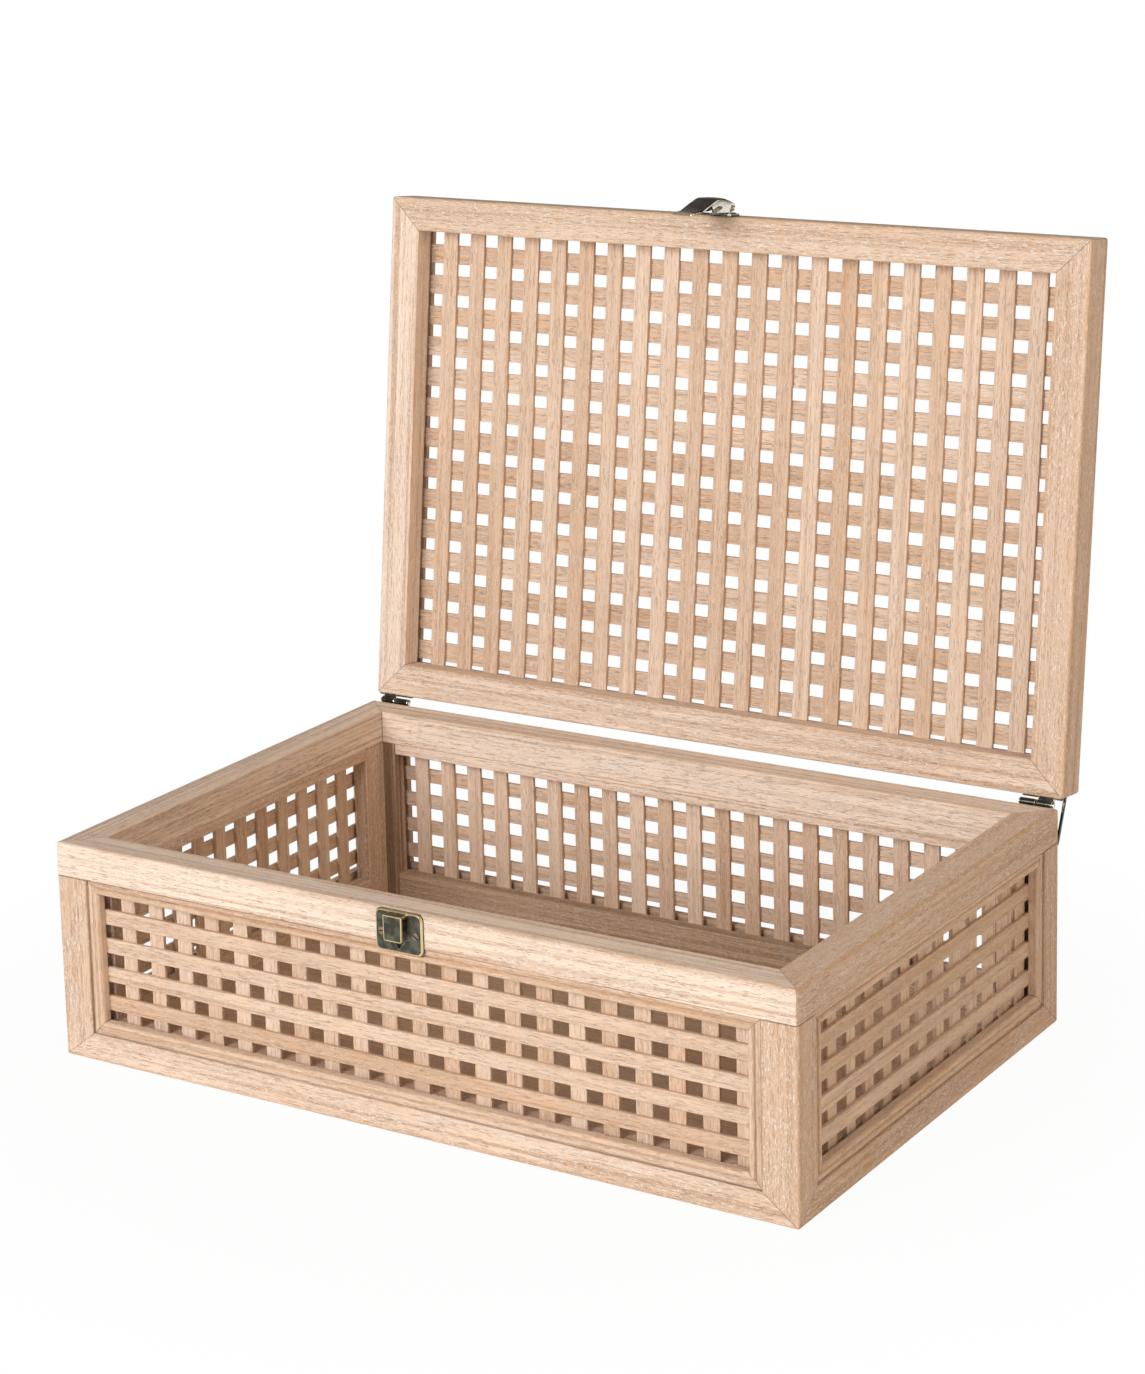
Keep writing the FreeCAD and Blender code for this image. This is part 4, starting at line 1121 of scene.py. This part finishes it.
    def build(self) -> None:
        """Build every piece of the body."""
        self.floor()
        for side in Side:
            self.top_rail(side)
            for end in ("left", "right"):
                self.post(side, end)
            self.foot_rail(side)
            self.head_rail(side)
            self.mouldings(side)
            self.slats_across(side)
            self.slats_upright(side)


@dataclass
class Lid:
    """Open lid: a mitred frame, rebated from above for crossed slats and their moulding."""

    finishes: Finishes
    width: float = 380.0
    depth: float = 257.0
    body_height: float = 103.0
    thick: float = 19.5
    gap: float = 0.5
    reach: float = 3.0
    angle: float = 96.6
    rail: float = 16.6
    rail_face: float = 9.6
    recess: float = 11.5
    round: float = 1.4
    play: float = 0.1
    slat_thick: float = 2.0
    deep_slat: float = 8.3
    deep_edge: float = 29.0
    deep_count: int = 21
    wide_slat: float = 9.6
    wide_ends: Pair = (23.2, 28.6)
    wide_count: int = 14
    moulding_back: float = 4.0
    moulding: Moulding = field(default_factory=Moulding)
    # Tone by side: the back and left rails paler and the right one darker, painted light and shade of lamps
    # from the front left, on top of each rail's own tone.
    rail_tone: dict[Side, float] = field(
        default_factory=lambda: {Side.FRONT: -0.1, Side.RIGHT: -0.3, Side.BACK: 0.8, Side.LEFT: 0.4})

    def __post_init__(self) -> None:
        """Set the grain's random source."""
        self.rng = np.random.default_rng(87)

    def opened(self, points: np.ndarray) -> np.ndarray:
        """Points of the shut lid, turned open about the hinge axis."""
        c, s = np.cos(np.radians(self.angle)), np.sin(np.radians(self.angle))
        x, y, z = points.T
        return np.stack([x, c * y + s * z + self.depth / 2 + self.reach,
                         c * z - s * y + self.body_height], axis=1)

    def piece(self, name: str, shells: Sequence[Shell], slot: Slot) -> None:
        """Ease the shut lid's shells, open them and make them one piece.

        Args:
            name: Name of the frame node that the piece replaces.
            shells: Its shells in the shut lid's coordinates.
            slot: Slot of its finish.
        """
        low = np.array([-self.width / 2, -self.reach - self.depth, self.gap])
        high = np.array([self.width / 2, -self.reach, self.gap + self.thick])
        placed = [shell.placed(lambda p: self.opened(eased_block(p, low, high, self.round)))
                  for shell in shells]
        make_piece(name, placed, self.finishes.by_slot, "lid", slot)

    def rails(self) -> None:
        """Four mitred rails with a rebate in their upper inner edge."""
        low, step, high = self.gap, self.gap + self.recess, self.gap + self.thick
        outline = eased_outline([(0, low, Edge.OUTER), (self.rail, low, Edge.SOFT),
                                 (self.rail, step, Edge.SHARP), (self.rail_face, step, Edge.SHARP),
                                 (self.rail_face, high, Edge.ARRIS), (0, high, Edge.OUTER)])
        corner = corners(self.width / 2, -self.reach - self.depth, -self.reach)
        for side in Side:
            length = self.width if side.is_long else self.depth
            rail = board(outline, lambda y, z: y, lambda y, z, far=length: far - y, EndCut.CORNER, self.rng,
                         self.rail_tone[side])
            self.piece(f"lid_rail_{side.tag}", [rail.placed(turned(side.value, corner[side]))], Slot.RAIL)

    def slats(self) -> None:
        """Inner slats from front to back and outer slats from side to side."""
        edge = self.rail_face + self.play
        front, back, side = -self.reach - self.depth + edge, -self.reach - edge, self.width / 2 - edge
        low = self.gap + self.recess
        span, half = self.width / 2 - self.deep_edge, self.deep_slat / 2
        deep = [board(rect_outline((middle - half, low), (middle + half, low + self.slat_thick), Edge.THIN),
                      at(front), at(back), EndCut.HIDDEN, self.rng).placed(lambda p: p[:, [1, 0, 2]])
                for middle in np.linspace(-span, span, self.deep_count)]
        self.piece("lid_slats_deep", deep, Slot.SLAT)
        low, half = low + self.slat_thick, self.wide_slat / 2
        first, last = -self.reach - self.wide_ends[0], -self.reach - self.depth + self.wide_ends[1]
        wide = [board(rect_outline((middle - half, low), (middle + half, low + self.slat_thick), Edge.THIN),
                      at(-side), at(side), EndCut.HIDDEN, self.rng)
                for middle in np.linspace(first, last, self.wide_count)]
        self.piece("lid_slats_wide", wide, Slot.SLAT)

    def mouldings(self) -> None:
        """Moulding frame in the top of the lid."""
        edge, top = self.rail_face + self.play, self.gap + self.thick
        low = (-self.width / 2 + edge, -self.reach - self.depth + edge)
        high = (self.width / 2 - edge, -self.reach - edge)
        strips = self.moulding.frame(low, high, self.moulding_back, self.rng)
        laid = [strip.placed(lambda p: np.stack([p[:, 0], p[:, 2], top - p[:, 1]], axis=1))
                for strip in strips]
        self.piece("lid_moulding", laid, Slot.MOULDING)

    def build(self) -> None:
        """Build every wooden piece of the lid."""
        self.rails()
        self.slats()
        self.mouldings()


# Fittings

@dataclass
class BackHinge:
    """Butt hinge on the back with a stop arm; hand is 1 for the right one and -1 for the left one."""

    finishes: Finishes
    hand: int
    middle: float = 177.8
    axis_y: float = 131.5
    axis_z: float = 103.0
    angle: float = 96.6
    reach: float = 3.0
    radius: float = 1.8
    length: float = 16.4
    gap: float = 0.3
    leaf: float = 1.0
    leaf_height: float = 13.0
    screw_radius: float = 1.8
    pin_head: float = 0.6
    pin_radius: float = 1.3
    arm_ear: float = 3.3
    arm_thick: float = 1.1
    arm_width: float = 2.0
    arm_seat: float = 6.3
    arm_drop: float = 19.9
    arm_rest: float = 0.3
    arm_heel: float = 0.3
    arm_wear: float = 0.15
    ear_lap: float = 0.5
    ear_corner: float = 0.4
    strip_half: float = 1.1
    strip_lap: float = 1.0
    strip_corner: float = 0.3
    lid_gap: float = 0.5
    corner: float = 0.5
    bevel: float = 0.25
    tab_lap: float = 1.0
    turns: Pair = (25.0, 70.0)

    def on_box(self, p: np.ndarray) -> np.ndarray:
        """Points about the right hinge's axis, put on the box on this hinge's side."""
        return p * (self.hand, 1, 1) + (self.hand * self.middle, self.axis_y, self.axis_z)

    def opened(self, p: np.ndarray) -> np.ndarray:
        """Points about the axis of the shut lid, turned open and put on the box."""
        c, s = np.cos(np.radians(self.angle)), np.sin(np.radians(self.angle))
        return self.on_box(np.stack([p[:, 0], c * p[:, 1] + s * p[:, 2], c * p[:, 2] - s * p[:, 1]], axis=1))

    def on_back(self, p: np.ndarray) -> np.ndarray:
        """Points of a plate's coordinates put on the hinge's mounting face, about the axis."""
        return np.stack([p[:, 0], -self.reach - p[:, 1], p[:, 2]], axis=1)

    def leaf_shells(self, up: float, inboard: bool) -> list[Shell]:
        """One leaf with its rolled knuckle.

        Args:
            up: 1 for the leaf above the axis and -1 for the one below it.
            inboard: Whether it has the inboard knuckle.

        Returns:
            The leaf's shells about the axis.
        """
        low = self.radius + self.gap
        tall = (self.leaf_height - low) / 2
        flat = plate((0.0, up * (low + tall)), (self.length / 2, tall), self.corner, self.leaf, self.bevel)
        near, far = (-self.length / 2, -self.gap / 2) if inboard else (self.gap / 2, self.length / 2)
        back, front = -self.reach, self.leaf - self.reach
        foot, roof, root = up * (self.radius - self.leaf), up * self.radius, up * (low + self.tab_lap)
        spots = ((back, foot), (0.0, foot), (0.0, roof), (front, roof), (front, root), (back, root))
        tab = eased_outline([(*spot, Edge.SHARP) for spot in spots])
        return [flat.placed(self.on_back), bar(tab, near, far), knuckle(near, far, self.radius)]

    def screws(self, up: float) -> list[Shell]:
        """Two screw heads on one leaf, facing away from the box.

        Args:
            up: 1 for the leaf above the axis and -1 for the one below it.

        Returns:
            The heads about the axis.
        """
        rise = up * (self.leaf_height + self.radius) / 2
        shells = [shell for side, turn in zip((-1, 1), self.turns)
                  for shell in screw_head((side * self.length / 4, rise), 0.0, self.screw_radius, turn)]
        return [shell.placed(lambda p: self.on_back(p) + (0.0, self.leaf, 0.0)) for shell in shells]

    def arm(self) -> list[Shell]:
        """Stop arm down to the back of the box, the ear that it leaves and the leaf's outboard strip.

        Returns:
            The shells on the box.
        """
        lean = np.radians(self.angle - 90)
        root = self.arm_seat + self.lid_gap
        y = root * np.cos(lean) + self.reach * np.sin(lean) - self.leaf / 2 * np.sin(lean)
        z = self.reach * np.cos(lean) - root * np.sin(lean) - self.leaf / 2 * np.cos(lean)
        half, low = self.arm_width / 2, z - self.arm_drop
        foot = half + self.arm_rest - self.reach
        back = foot - half
        spots = ((y - half, z), (y + half, z), (foot + self.arm_heel + half, low + half), (foot, low),
                 (back, low), (back, low + half))
        outline = eased_outline([(*spot, Edge.SHARP) for spot in spots])
        end = self.length / 2
        out, middle = end + self.arm_ear, end + self.arm_ear / 2
        ear = plate((middle - self.ear_lap, root), (self.arm_ear / 2 + self.ear_lap, half), self.ear_corner,
                    self.leaf, self.bevel)
        strip = plate((middle - self.strip_lap, self.radius + self.gap + self.strip_half),
                      (self.arm_ear / 2 + self.strip_lap, self.strip_half), self.strip_corner, self.leaf,
                      self.bevel)
        ear, strip = (flat.placed(self.on_back).placed(self.opened) for flat in (ear, strip))
        arm = bar(outline, out - self.arm_thick, out, self.arm_wear)
        return [strip, arm.placed(self.on_box), ear]

    def build(self) -> None:
        """Build the leaves, the pin and the screws."""
        tag = "right" if self.hand > 0 else "left"
        heads = pin_heads(self.length / 2, self.pin_head, self.pin_radius, 0.4)
        below = [shell.placed(self.on_box) for shell in self.leaf_shells(-1.0, True)]
        above = [shell.placed(self.opened) for shell in self.leaf_shells(1.0, False)] + self.arm()
        for part, body, slot, shells in (
                ("body_leaf", "box", Slot.BRONZE, below),
                ("lid_leaf", "lid", Slot.BRONZE, above),
                ("pin", "box", Slot.BRONZE, [s.placed(self.on_box) for s in heads]),
                ("body_screws", "box", Slot.SCREW, [s.placed(self.on_box) for s in self.screws(-1.0)]),
                ("lid_screws", "lid", Slot.SCREW, [s.placed(self.opened) for s in self.screws(1.0)])):
            make_piece(f"hinge_{tag}_{part}", shells, self.finishes.polished, body, slot)


@dataclass
class Catch:
    """Bevelled plate on the front of the ring, with a window behind its folded hook, and two screws."""

    finishes: Finishes
    box_front: float = -128.5
    box_height: float = 103.0
    width: float = 24.2
    height: float = 19.0
    thick: float = 1.5
    corner: float = 3.0
    bevel: float = 0.6
    hook_width: float = 9.6
    hook_height: float = 11.5
    hook_drop: float = 0.8
    hook_reach: float = 6.3
    hook_thick: float = 1.2
    flap_corner: float = 1.3
    window_lap: float = 1.0
    window_corner: float = 0.6
    window_step: float = 0.15
    window_rim: float = 0.2
    face_flat: float = 0.4
    notch_width: float = 8.0
    notch_depth: float = 4.9
    screw_side: float = 8.7
    screw_drop: float = 10.0
    screw_radius: float = 1.8
    turns: Pair = (12.0, -35.0)

    def windowed(self) -> Shell:
        """Plate with a window floored by dark metal, in X and Z about its middle.

        Rings run from the back edge round the bevel and over the face to the window's rim, and end on a dark
        unworn metal floor just in front of the wood, painted shade that stands in for the shadowed hole
        behind the hook. The window's rings are rounded rectangles too, with a notch in their low side.

        Returns:
            The closed plate.
        """
        half = (self.width / 2, self.height / 2)
        drop = self.hook_drop + self.hook_thick + self.window_lap
        tall = (self.hook_height + self.hook_drop - drop) / 2
        window = (self.hook_width / 2, tall)
        shift = (0.0, self.height / 2 - drop - tall)
        step, face = self.window_step, -self.thick
        # The last rim ring is the window's floor, a dark unworn sheet of patina: painted shade for the hole
        # behind the hook and its notch.
        rim = ((-self.face_flat, face, 0.0), (0.0, face, 0.5), (step, face + self.window_rim, 0.0),
               (step, -step, 0.0))

        def notched(spot: np.ndarray, depth: float) -> np.ndarray:
            """Rectangle with three more points in its low side, the middle one a depth further down."""
            low = spot[:, 1].min()
            more = [(-self.notch_width / 2, low), (0.0, low - depth), (self.notch_width / 2, low)]
            return np.insert(spot, 3 * len(spot) // 4, more, axis=0)

        steps = bevel_steps(self.thick, self.bevel, self.face_flat)
        outer, outer_wear = flat_rings(
            steps, lambda inset: notched(round_rect(half, self.corner, inset), 0.0))
        inner, inner_wear = flat_rings(rim, lambda inset: notched(
            round_rect(window, self.window_corner, inset), self.notch_depth - inset) + shift)
        return skin(np.concatenate([outer, inner]), np.concatenate([outer_wear, inner_wear]))

    def hook(self) -> Shell:
        """Folded hook: a roof out of the plate and a flap down from its front, eased on every rim.

        Returns:
            The closed hook.
        """
        top = self.box_height - self.hook_drop
        back, front = self.box_front - self.thick / 2, self.box_front - self.hook_reach
        low, inner = top - self.hook_height, front + self.hook_thick
        outline = eased_outline([(back, top, Edge.SHARP), (back, top - self.hook_thick, Edge.SHARP),
                                 (inner, top - self.hook_thick, Edge.SHARP), (inner, low, Edge.THIN),
                                 (front, low, Edge.FOLD), (front, top, Edge.FOLD)])
        wide = self.hook_width / 2

        def rounded(p: np.ndarray) -> np.ndarray:
            """Points drawn in towards X = 0 along a quarter round at the flap's low corners."""
            short = np.clip(1.0 - (p[:, 2] - low) / self.flap_corner, 0.0, 1.0)
            drawn = self.flap_corner * (1.0 - np.sqrt(1.0 - short ** 2))
            return p * np.stack([1.0 - drawn / wide, np.ones(len(p)), np.ones(len(p))], axis=1)

        return bar(outline, -wide, wide).placed(rounded)

    def build(self) -> None:
        """Build the plate with its hook, and the screws."""
        middle = self.box_height - self.height / 2
        flat = self.windowed().placed(lambda p: p + (0.0, self.box_front, middle))
        make_piece("catch_plate", [flat, self.hook()], self.finishes.by_slot, "box", Slot.BRONZE)
        heads = [shell for side, turn in zip((-1, 1), self.turns)
                 for shell in screw_head((side * self.screw_side, self.box_height - self.screw_drop),
                                         self.box_front - self.thick, self.screw_radius, turn)]
        make_piece("catch_screws", heads, self.finishes.by_slot, "box", Slot.SCREW)


@dataclass
class Hasp:
    """Hasp on the lid's front: base plate with a knuckle, domed lever and wire loop."""

    finishes: Finishes
    lid: Lid
    front: float = -260.0
    gap: float = 0.5
    base: Triple = (12.8, 7.8, 1.4)
    base_rise: float = 0.8
    screw_side: float = 3.6
    screw_rise: float = 5.9
    screw_radius: float = 1.8
    knuckle_width: float = 9.6
    knuckle_radius: float = 1.9
    pin_rise: float = 1.4
    pin_out: float = 4.4
    pin_head: float = 0.6
    pin_radius: float = 1.4
    pin_play: float = 0.05
    base_corner: float = 1.1
    base_bevel: float = 0.4
    turns: Pair = (40.0, 5.0)
    width: float = 12.4
    lip_width: float = 11.0
    sheet: float = 1.1
    flange: float = 1.0
    cheek_inset: float = 0.02
    stations: int = 90
    smoothing: int = 5
    least_sheet: float = 0.03
    shoulder: float = 1.5
    dome: float = 0.25
    arc_points: int = 7
    dome_points: int = 9
    taper: Pair = (-29.5, -28.0)
    tip_start: float = -35.5
    tip_length: float = 2.5
    tip_share: float = 0.38
    rim_wear: tuple[float, ...] = (0.5, 1.0, 0.9, 0.3, 0.0, 0.0, 0.0, 0.0, 0.0)
    # painted_dome_highlight: most, place and spread of a painted highlight, a bright band of bare metal along
    # the dome's middle.
    painted_dome_highlight: Triple = (0.45, -9.5, 4.5)
    tip_wear: Pair = (-35.0, 0.75)
    spine: tuple[Pair, ...] = ((-1.9, 7.86), (-5.5, 9.0), (-14.0, 9.0), (-28.5, 3.4), (-38.0, 2.4))
    hem: tuple[Pair, ...] = ((-1.0, 2.1), (-17.0, 2.1), (-19.5, 5.8))
    cheek: tuple[Pair, ...] = ((2.1, -3.2), (2.1, -1.0), (2.5, 1.4), (4.4, 3.0), (6.3, 3.0), (8.2, -3.2))
    loop_wire: float = 0.6
    loop_half: float = 7.1
    loop_out: float = 5.0
    loop_drop: float = 11.0
    loop_length: float = 10.1
    loop_droop: float = 18.0
    loop_bend: float = 1.4

    def seat(self, p: np.ndarray) -> np.ndarray:
        """Points as X, distance out of the lid's front and height, put on the open lid."""
        return self.lid.opened(np.stack([p[:, 0], self.front - p[:, 1], self.gap + p[:, 2]], axis=1))

    def lever(self) -> Shell:
        """Domed lever as rings from its pin end to its lip.

        Each ring runs up one flange, round its shoulder, over a shallow dome and down the other
        flange, and comes back on the inside one sheet lower. The spine and the hem give how far
        out the dome and the flanges' edges lie at each height, with the spine's bends smoothed by
        a moving mean. Past the hem the flanges end at the sheet, and at the lip the half width
        follows a rounded end: half width times the root of 1 less the squared share of the round.

        Returns:
            The closed lever.
        """
        rise = np.linspace(self.spine[0][0], self.spine[-1][0], self.stations)
        heights, outs = np.array(self.spine)[::-1].T
        padded = np.pad(np.interp(rise, heights, outs), self.smoothing, mode="edge")
        window = 2 * self.smoothing + 1
        top = np.convolve(padded, np.full(window, 1 / window), mode="valid")
        low_heights, low_outs = np.array(self.hem)[::-1].T
        under = top - self.sheet - self.least_sheet
        hem = np.minimum(np.interp(rise, low_heights, low_outs), under)
        hem = np.where(rise > low_heights[0], hem, under)
        half = np.interp(rise, self.taper, (self.lip_width / 2, self.width / 2))
        round_share = np.clip((self.tip_start - rise) / self.tip_length, 0.0, 0.96)
        half = half * (1 - self.tip_share + self.tip_share * np.sqrt(1 - round_share ** 2))
        t = np.linspace(0.0, np.pi / 2, self.arc_points)
        shoulder = np.minimum(self.shoulder, top - hem)[:, None]
        h, high, low = half[:, None], top[:, None], hem[:, None]
        side_x = -h + shoulder * (1 - np.cos(t))
        side_out = high - shoulder * (1 - np.sin(t))
        share = np.linspace(-1.0, 1.0, self.dome_points)[1:-1]
        dome_x = (h - shoulder) * share
        dome_out = high + self.dome * (1 - share ** 2) + np.zeros_like(dome_x)
        inner_h = h - self.flange
        inner = np.maximum(high - self.sheet, low + 0.01)
        x = np.concatenate([-h, side_x, dome_x, -side_x[:, ::-1], h, inner_h, inner_h, -inner_h, -inner_h],
                           axis=1)
        out = np.concatenate([low, side_out, dome_out, side_out[:, ::-1], low, low, inner, inner, low],
                             axis=1)
        shell = skin(np.stack([x, out, np.repeat(rise[:, None], x.shape[1], axis=1)], axis=-1),
                     np.zeros(self.stations))
        shell.marks["wear"] = self.lever_wear_and_highlight(rise, x.shape[1] - 4).ravel()
        return shell

    def lever_wear_and_highlight(self, rise: np.ndarray, outer: int) -> np.ndarray:
        """Wear of the lever along both rims and towards the tip, and a painted highlight as a bright band
        along the middle of the dome.

        Args:
            rise: Height of each ring.
            outer: Points of each ring on its outside, which come before the four inside ones.

        Returns:
            Wear by ring and place in the ring.
        """
        worn = np.zeros((len(rise), outer + 4))
        reach, middle = len(self.rim_wear), outer // 2
        worn[:, :reach] = self.rim_wear
        worn[:, outer - reach:outer] = self.rim_wear[::-1]
        # A bright band along the dome's middle: painted highlight.
        most, place, spread = self.painted_dome_highlight
        bent = most * np.exp(-((rise - place) / spread) ** 2)[:, None]
        worn[:, middle - 3:middle + 4] = np.maximum(worn[:, middle - 3:middle + 4], bent)
        tip = np.clip((self.tip_wear[0] - rise) / self.tip_length, 0.0, self.tip_wear[1])[:, None]
        return np.maximum(worn, tip)

    def cheeks(self) -> list[Shell]:
        """Ends of the two flanges, which hold the pin on each side of the open top."""
        outline = eased_outline([(out, rise, Edge.THIN) for out, rise in self.cheek])
        far, near = self.width / 2 - self.cheek_inset, self.width / 2 - self.flange + self.cheek_inset
        return [bar(outline, near, far, 0.6), bar(outline, -far, -near, 0.6)]

    def loop(self) -> Shell:
        """Wire loop hung in the lever's flanges.

        Half the path runs out along the pivot, round one corner, down, round the next and in to
        the middle, with quarter arcs of the bend's radius. The other half mirrors it in X.

        Returns:
            The closed wire.
        """
        lean = np.radians(self.loop_droop)
        down = np.array([0.0, -np.sin(lean), -np.cos(lean)])
        across = np.array([1.0, 0.0, 0.0])
        r, w, far = self.loop_bend, self.loop_half, self.loop_length
        t = np.linspace(0.0, np.pi / 2, 8)
        half_x = np.concatenate([[self.width / 2 - self.flange], w - r + r * np.sin(t),
                                 w - r + r * np.cos(t)])
        half_d = np.concatenate([[0.0], r - r * np.cos(t), far - r + r * np.sin(t)])
        x, d = np.concatenate([half_x, -half_x[::-1]]), np.concatenate([half_d, half_d[::-1]])
        path = np.array([0.0, self.loop_out, -self.loop_drop]) + x[:, None] * across + d[:, None] * down
        return wire(path, np.cross(across, down), self.loop_wire)

    def build(self) -> None:
        """Build the base, its screws and pin, the lever and the loop."""
        wide, tall, thick = self.base
        flat = plate((0.0, self.base_rise + tall / 2), (wide / 2, tall / 2), self.base_corner, thick,
                     self.base_bevel).placed(lambda p: p * (1, -1, 1))
        reach, radius = self.knuckle_width / 2, self.pin_radius
        roof = (self.pin_out, self.pin_rise + self.knuckle_radius)
        web = bar(rect_outline((thick / 2, self.pin_rise), roof, Edge.SHARP), -reach, reach)
        pin = (0.0, self.pin_out, self.pin_rise)
        roll = knuckle(-reach, reach, self.knuckle_radius).placed(lambda p: p + pin)
        heads = [shell.placed(lambda p: p * (1, -1, 1) + (0.0, thick, 0.0))
                 for side, turn in zip((-1, 1), self.turns)
                 for shell in screw_head((side * self.screw_side, self.screw_rise), 0.0,
                                         self.screw_radius, turn)]
        end = self.width / 2 + self.pin_play
        neck = [(end - self.flange, radius / 2, 0.0)]
        caps = [shell.placed(lambda p: p + pin) for shell in pin_heads(end, self.pin_head, radius, 0.5, neck)]
        for part, body, slot, shells in (
                ("base", "lid", Slot.BRONZE, [flat, web, roll]),
                ("screws", "lid", Slot.SCREW, heads),
                ("pin", "lid", Slot.BRONZE, caps),
                ("lever", "lever", Slot.BRONZE, [self.lever(), *self.cheeks()]),
                ("loop", "loop", Slot.BRONZE, [self.loop()])):
            placed = [shell.placed(self.seat) for shell in shells]
            make_piece(f"hasp_{part}", placed, self.finishes.polished, body, slot)


# Studio

@dataclass(frozen=True)
class Lamp:
    """Square lamp that faces the box: its place and side in metres, its power in watts, its colour."""

    name: str
    spot: Triple
    size: float
    power: float
    colour: Colour

    def hang(self, aim: float = 0.12) -> None:
        """Add the lamp to the scene, turned to a point on the middle axis at a height in metres."""
        data = bpy.data.lights.new(self.name, "AREA")
        data.size, data.energy, data.color = self.size, self.power, self.colour
        lamp = bpy.data.objects.new(self.name, data)
        lamp.location = self.spot
        away = lamp.location - Matrix.Translation((0.0, 0.0, aim)).translation
        lamp.rotation_euler = away.to_track_quat("Z", "Y").to_euler()
        bpy.context.scene.collection.objects.link(lamp)


@dataclass
class Studio:
    """Pale floor, plain soft light and the camera at the photograph's angle."""

    image: Pair = (1145.0, 1374.0)
    focal: float = 3436.3
    centre: Pair = (410.7, 424.9)
    spot: Triple = (0.79315, -1.27352, 0.60554)
    heading: float = -34.23
    pitch: float = 11.81
    roll: float = -1.93
    sensor: float = 36.0
    lamps: tuple[Lamp, ...] = (
        Lamp("key_lamp", (-0.45, -2.9, 1.3), 1.6, 88.0, (1.0, 0.985, 0.975)),
        Lamp("side_lamp", (2.6, -0.6, 1.2), 1.5, 24.0, (1.0, 0.82, 0.62)),
        Lamp("back_lamp", (1.5, 2.6, 1.8), 1.4, 14.0, (1.0, 0.96, 0.92)))
    white: Colour = (1.0, 1.0, 1.0)
    fill: float = 0.23
    fill_colour: Colour = (1.0, 0.87, 0.74)
    floor_half: float = 4.0
    floor_colour: Colour = (0.88, 0.87, 0.86)
    floor_fade: Pair = (0.18, 0.42)
    shadow_share: float = 0.05

    def camera(self) -> None:
        """Camera with the photograph's place, turn, focal length and lens shift."""
        z, x, y = np.radians([self.heading, self.pitch, self.roll])
        about_z = np.array([[np.cos(z), -np.sin(z), 0], [np.sin(z), np.cos(z), 0], [0, 0, 1]])
        about_x = np.array([[1, 0, 0], [0, np.cos(x), -np.sin(x)], [0, np.sin(x), np.cos(x)]])
        about_y = np.array([[np.cos(y), 0, np.sin(y)], [0, 1, 0], [-np.sin(y), 0, np.cos(y)]])
        right, forward, up = about_y @ about_x @ about_z
        data = bpy.data.cameras.new("camera")
        data.sensor_width = self.sensor
        data.lens = self.focal / max(self.image) * self.sensor
        data.shift_x = (self.image[0] / 2 - self.centre[0]) / max(self.image)
        data.shift_y = (self.centre[1] - self.image[1] / 2) / max(self.image)
        camera = bpy.data.objects.new("camera", data)
        turn = Matrix(np.stack([right, up, -forward], axis=1).tolist()).to_4x4()
        camera.matrix_world = Matrix.Translation(self.spot) @ turn
        bpy.context.scene.collection.objects.link(camera)
        bpy.context.scene.camera = camera

    def world(self) -> None:
        """White to the camera, and a soft fill on the box and in its reflections."""
        world = bpy.data.worlds.new("studio")
        bpy.context.scene.world = world
        sh = Shader(world)
        path = sh.node("ShaderNodeLightPath").outputs
        seen = Value(sh, path["Is Camera Ray"]).at_least(Value(sh, path["Is Transmission Ray"]))
        fill = sh.node("ShaderNodeBackground", None, {"Color": self.fill_colour, "Strength": self.fill})
        white = sh.node("ShaderNodeBackground", None, {"Color": self.white, "Strength": 1.0})
        mix = sh.node("ShaderNodeMixShader", None, {0: seen, 1: fill.outputs[0], 2: white.outputs[0]})
        sh.node("ShaderNodeOutputWorld", None, {"Surface": mix.outputs[0]})

    def floor(self) -> None:
        """Pale floor that keeps the box's shadow near it and is white further off."""
        half = self.floor_half
        mesh = bpy.data.meshes.new("studio_floor")
        mesh.from_pydata([(-half, -half, 0), (half, -half, 0), (half, half, 0), (-half, half, 0)], [],
                         [(0, 1, 2, 3)])
        sh = Shader(bpy.data.materials.new("studio_floor"))
        path = sh.node("ShaderNodeLightPath").outputs
        camera, glossy, through = (Value(sh, path[f"Is {kind} Ray"])
                                   for kind in ("Camera", "Glossy", "Transmission"))
        seen = camera.at_least(glossy).at_least(through)
        away = sh.node("ShaderNodeVectorMath", {"operation": "LENGTH"}, {0: sh.place()}).outputs["Value"]
        far = Value(sh, away).step(*self.floor_fade)
        plain = sh.node("ShaderNodeBsdfDiffuse", None, {"Color": self.floor_colour})
        white = sh.node("ShaderNodeEmission", None, {"Color": self.white, "Strength": 1.0})
        mix = sh.node("ShaderNodeMixShader", None, {
            0: seen * (1.0 - self.shadow_share + far * self.shadow_share), 1: plain.outputs[0],
            2: white.outputs[0]})
        sh.node("ShaderNodeOutputMaterial", None, {"Surface": mix.outputs[0]})
        mesh.materials.append(sh.owner)
        floor = bpy.data.objects.new("studio_floor", mesh)
        bpy.context.scene.collection.objects.link(floor)

    def build(self) -> None:
        """Set the stage, the lamps and the camera."""
        bpy.context.scene.view_settings.view_transform = "Standard"
        self.world()
        self.floor()
        for lamp in self.lamps:
            lamp.hang()
        self.camera()


def main() -> None:
    """Build the box and its studio, and report each piece."""
    logging.basicConfig(level=logging.INFO, format="%(name)s: %(message)s")
    finishes = Finishes()
    Body(finishes).build()
    lid = Lid(finishes)
    lid.build()
    for hand in (1, -1):
        BackHinge(finishes, hand).build()
    Catch(finishes).build()
    Hasp(finishes, lid).build()
    Studio().build()


if __name__ == "__main__":
    main()
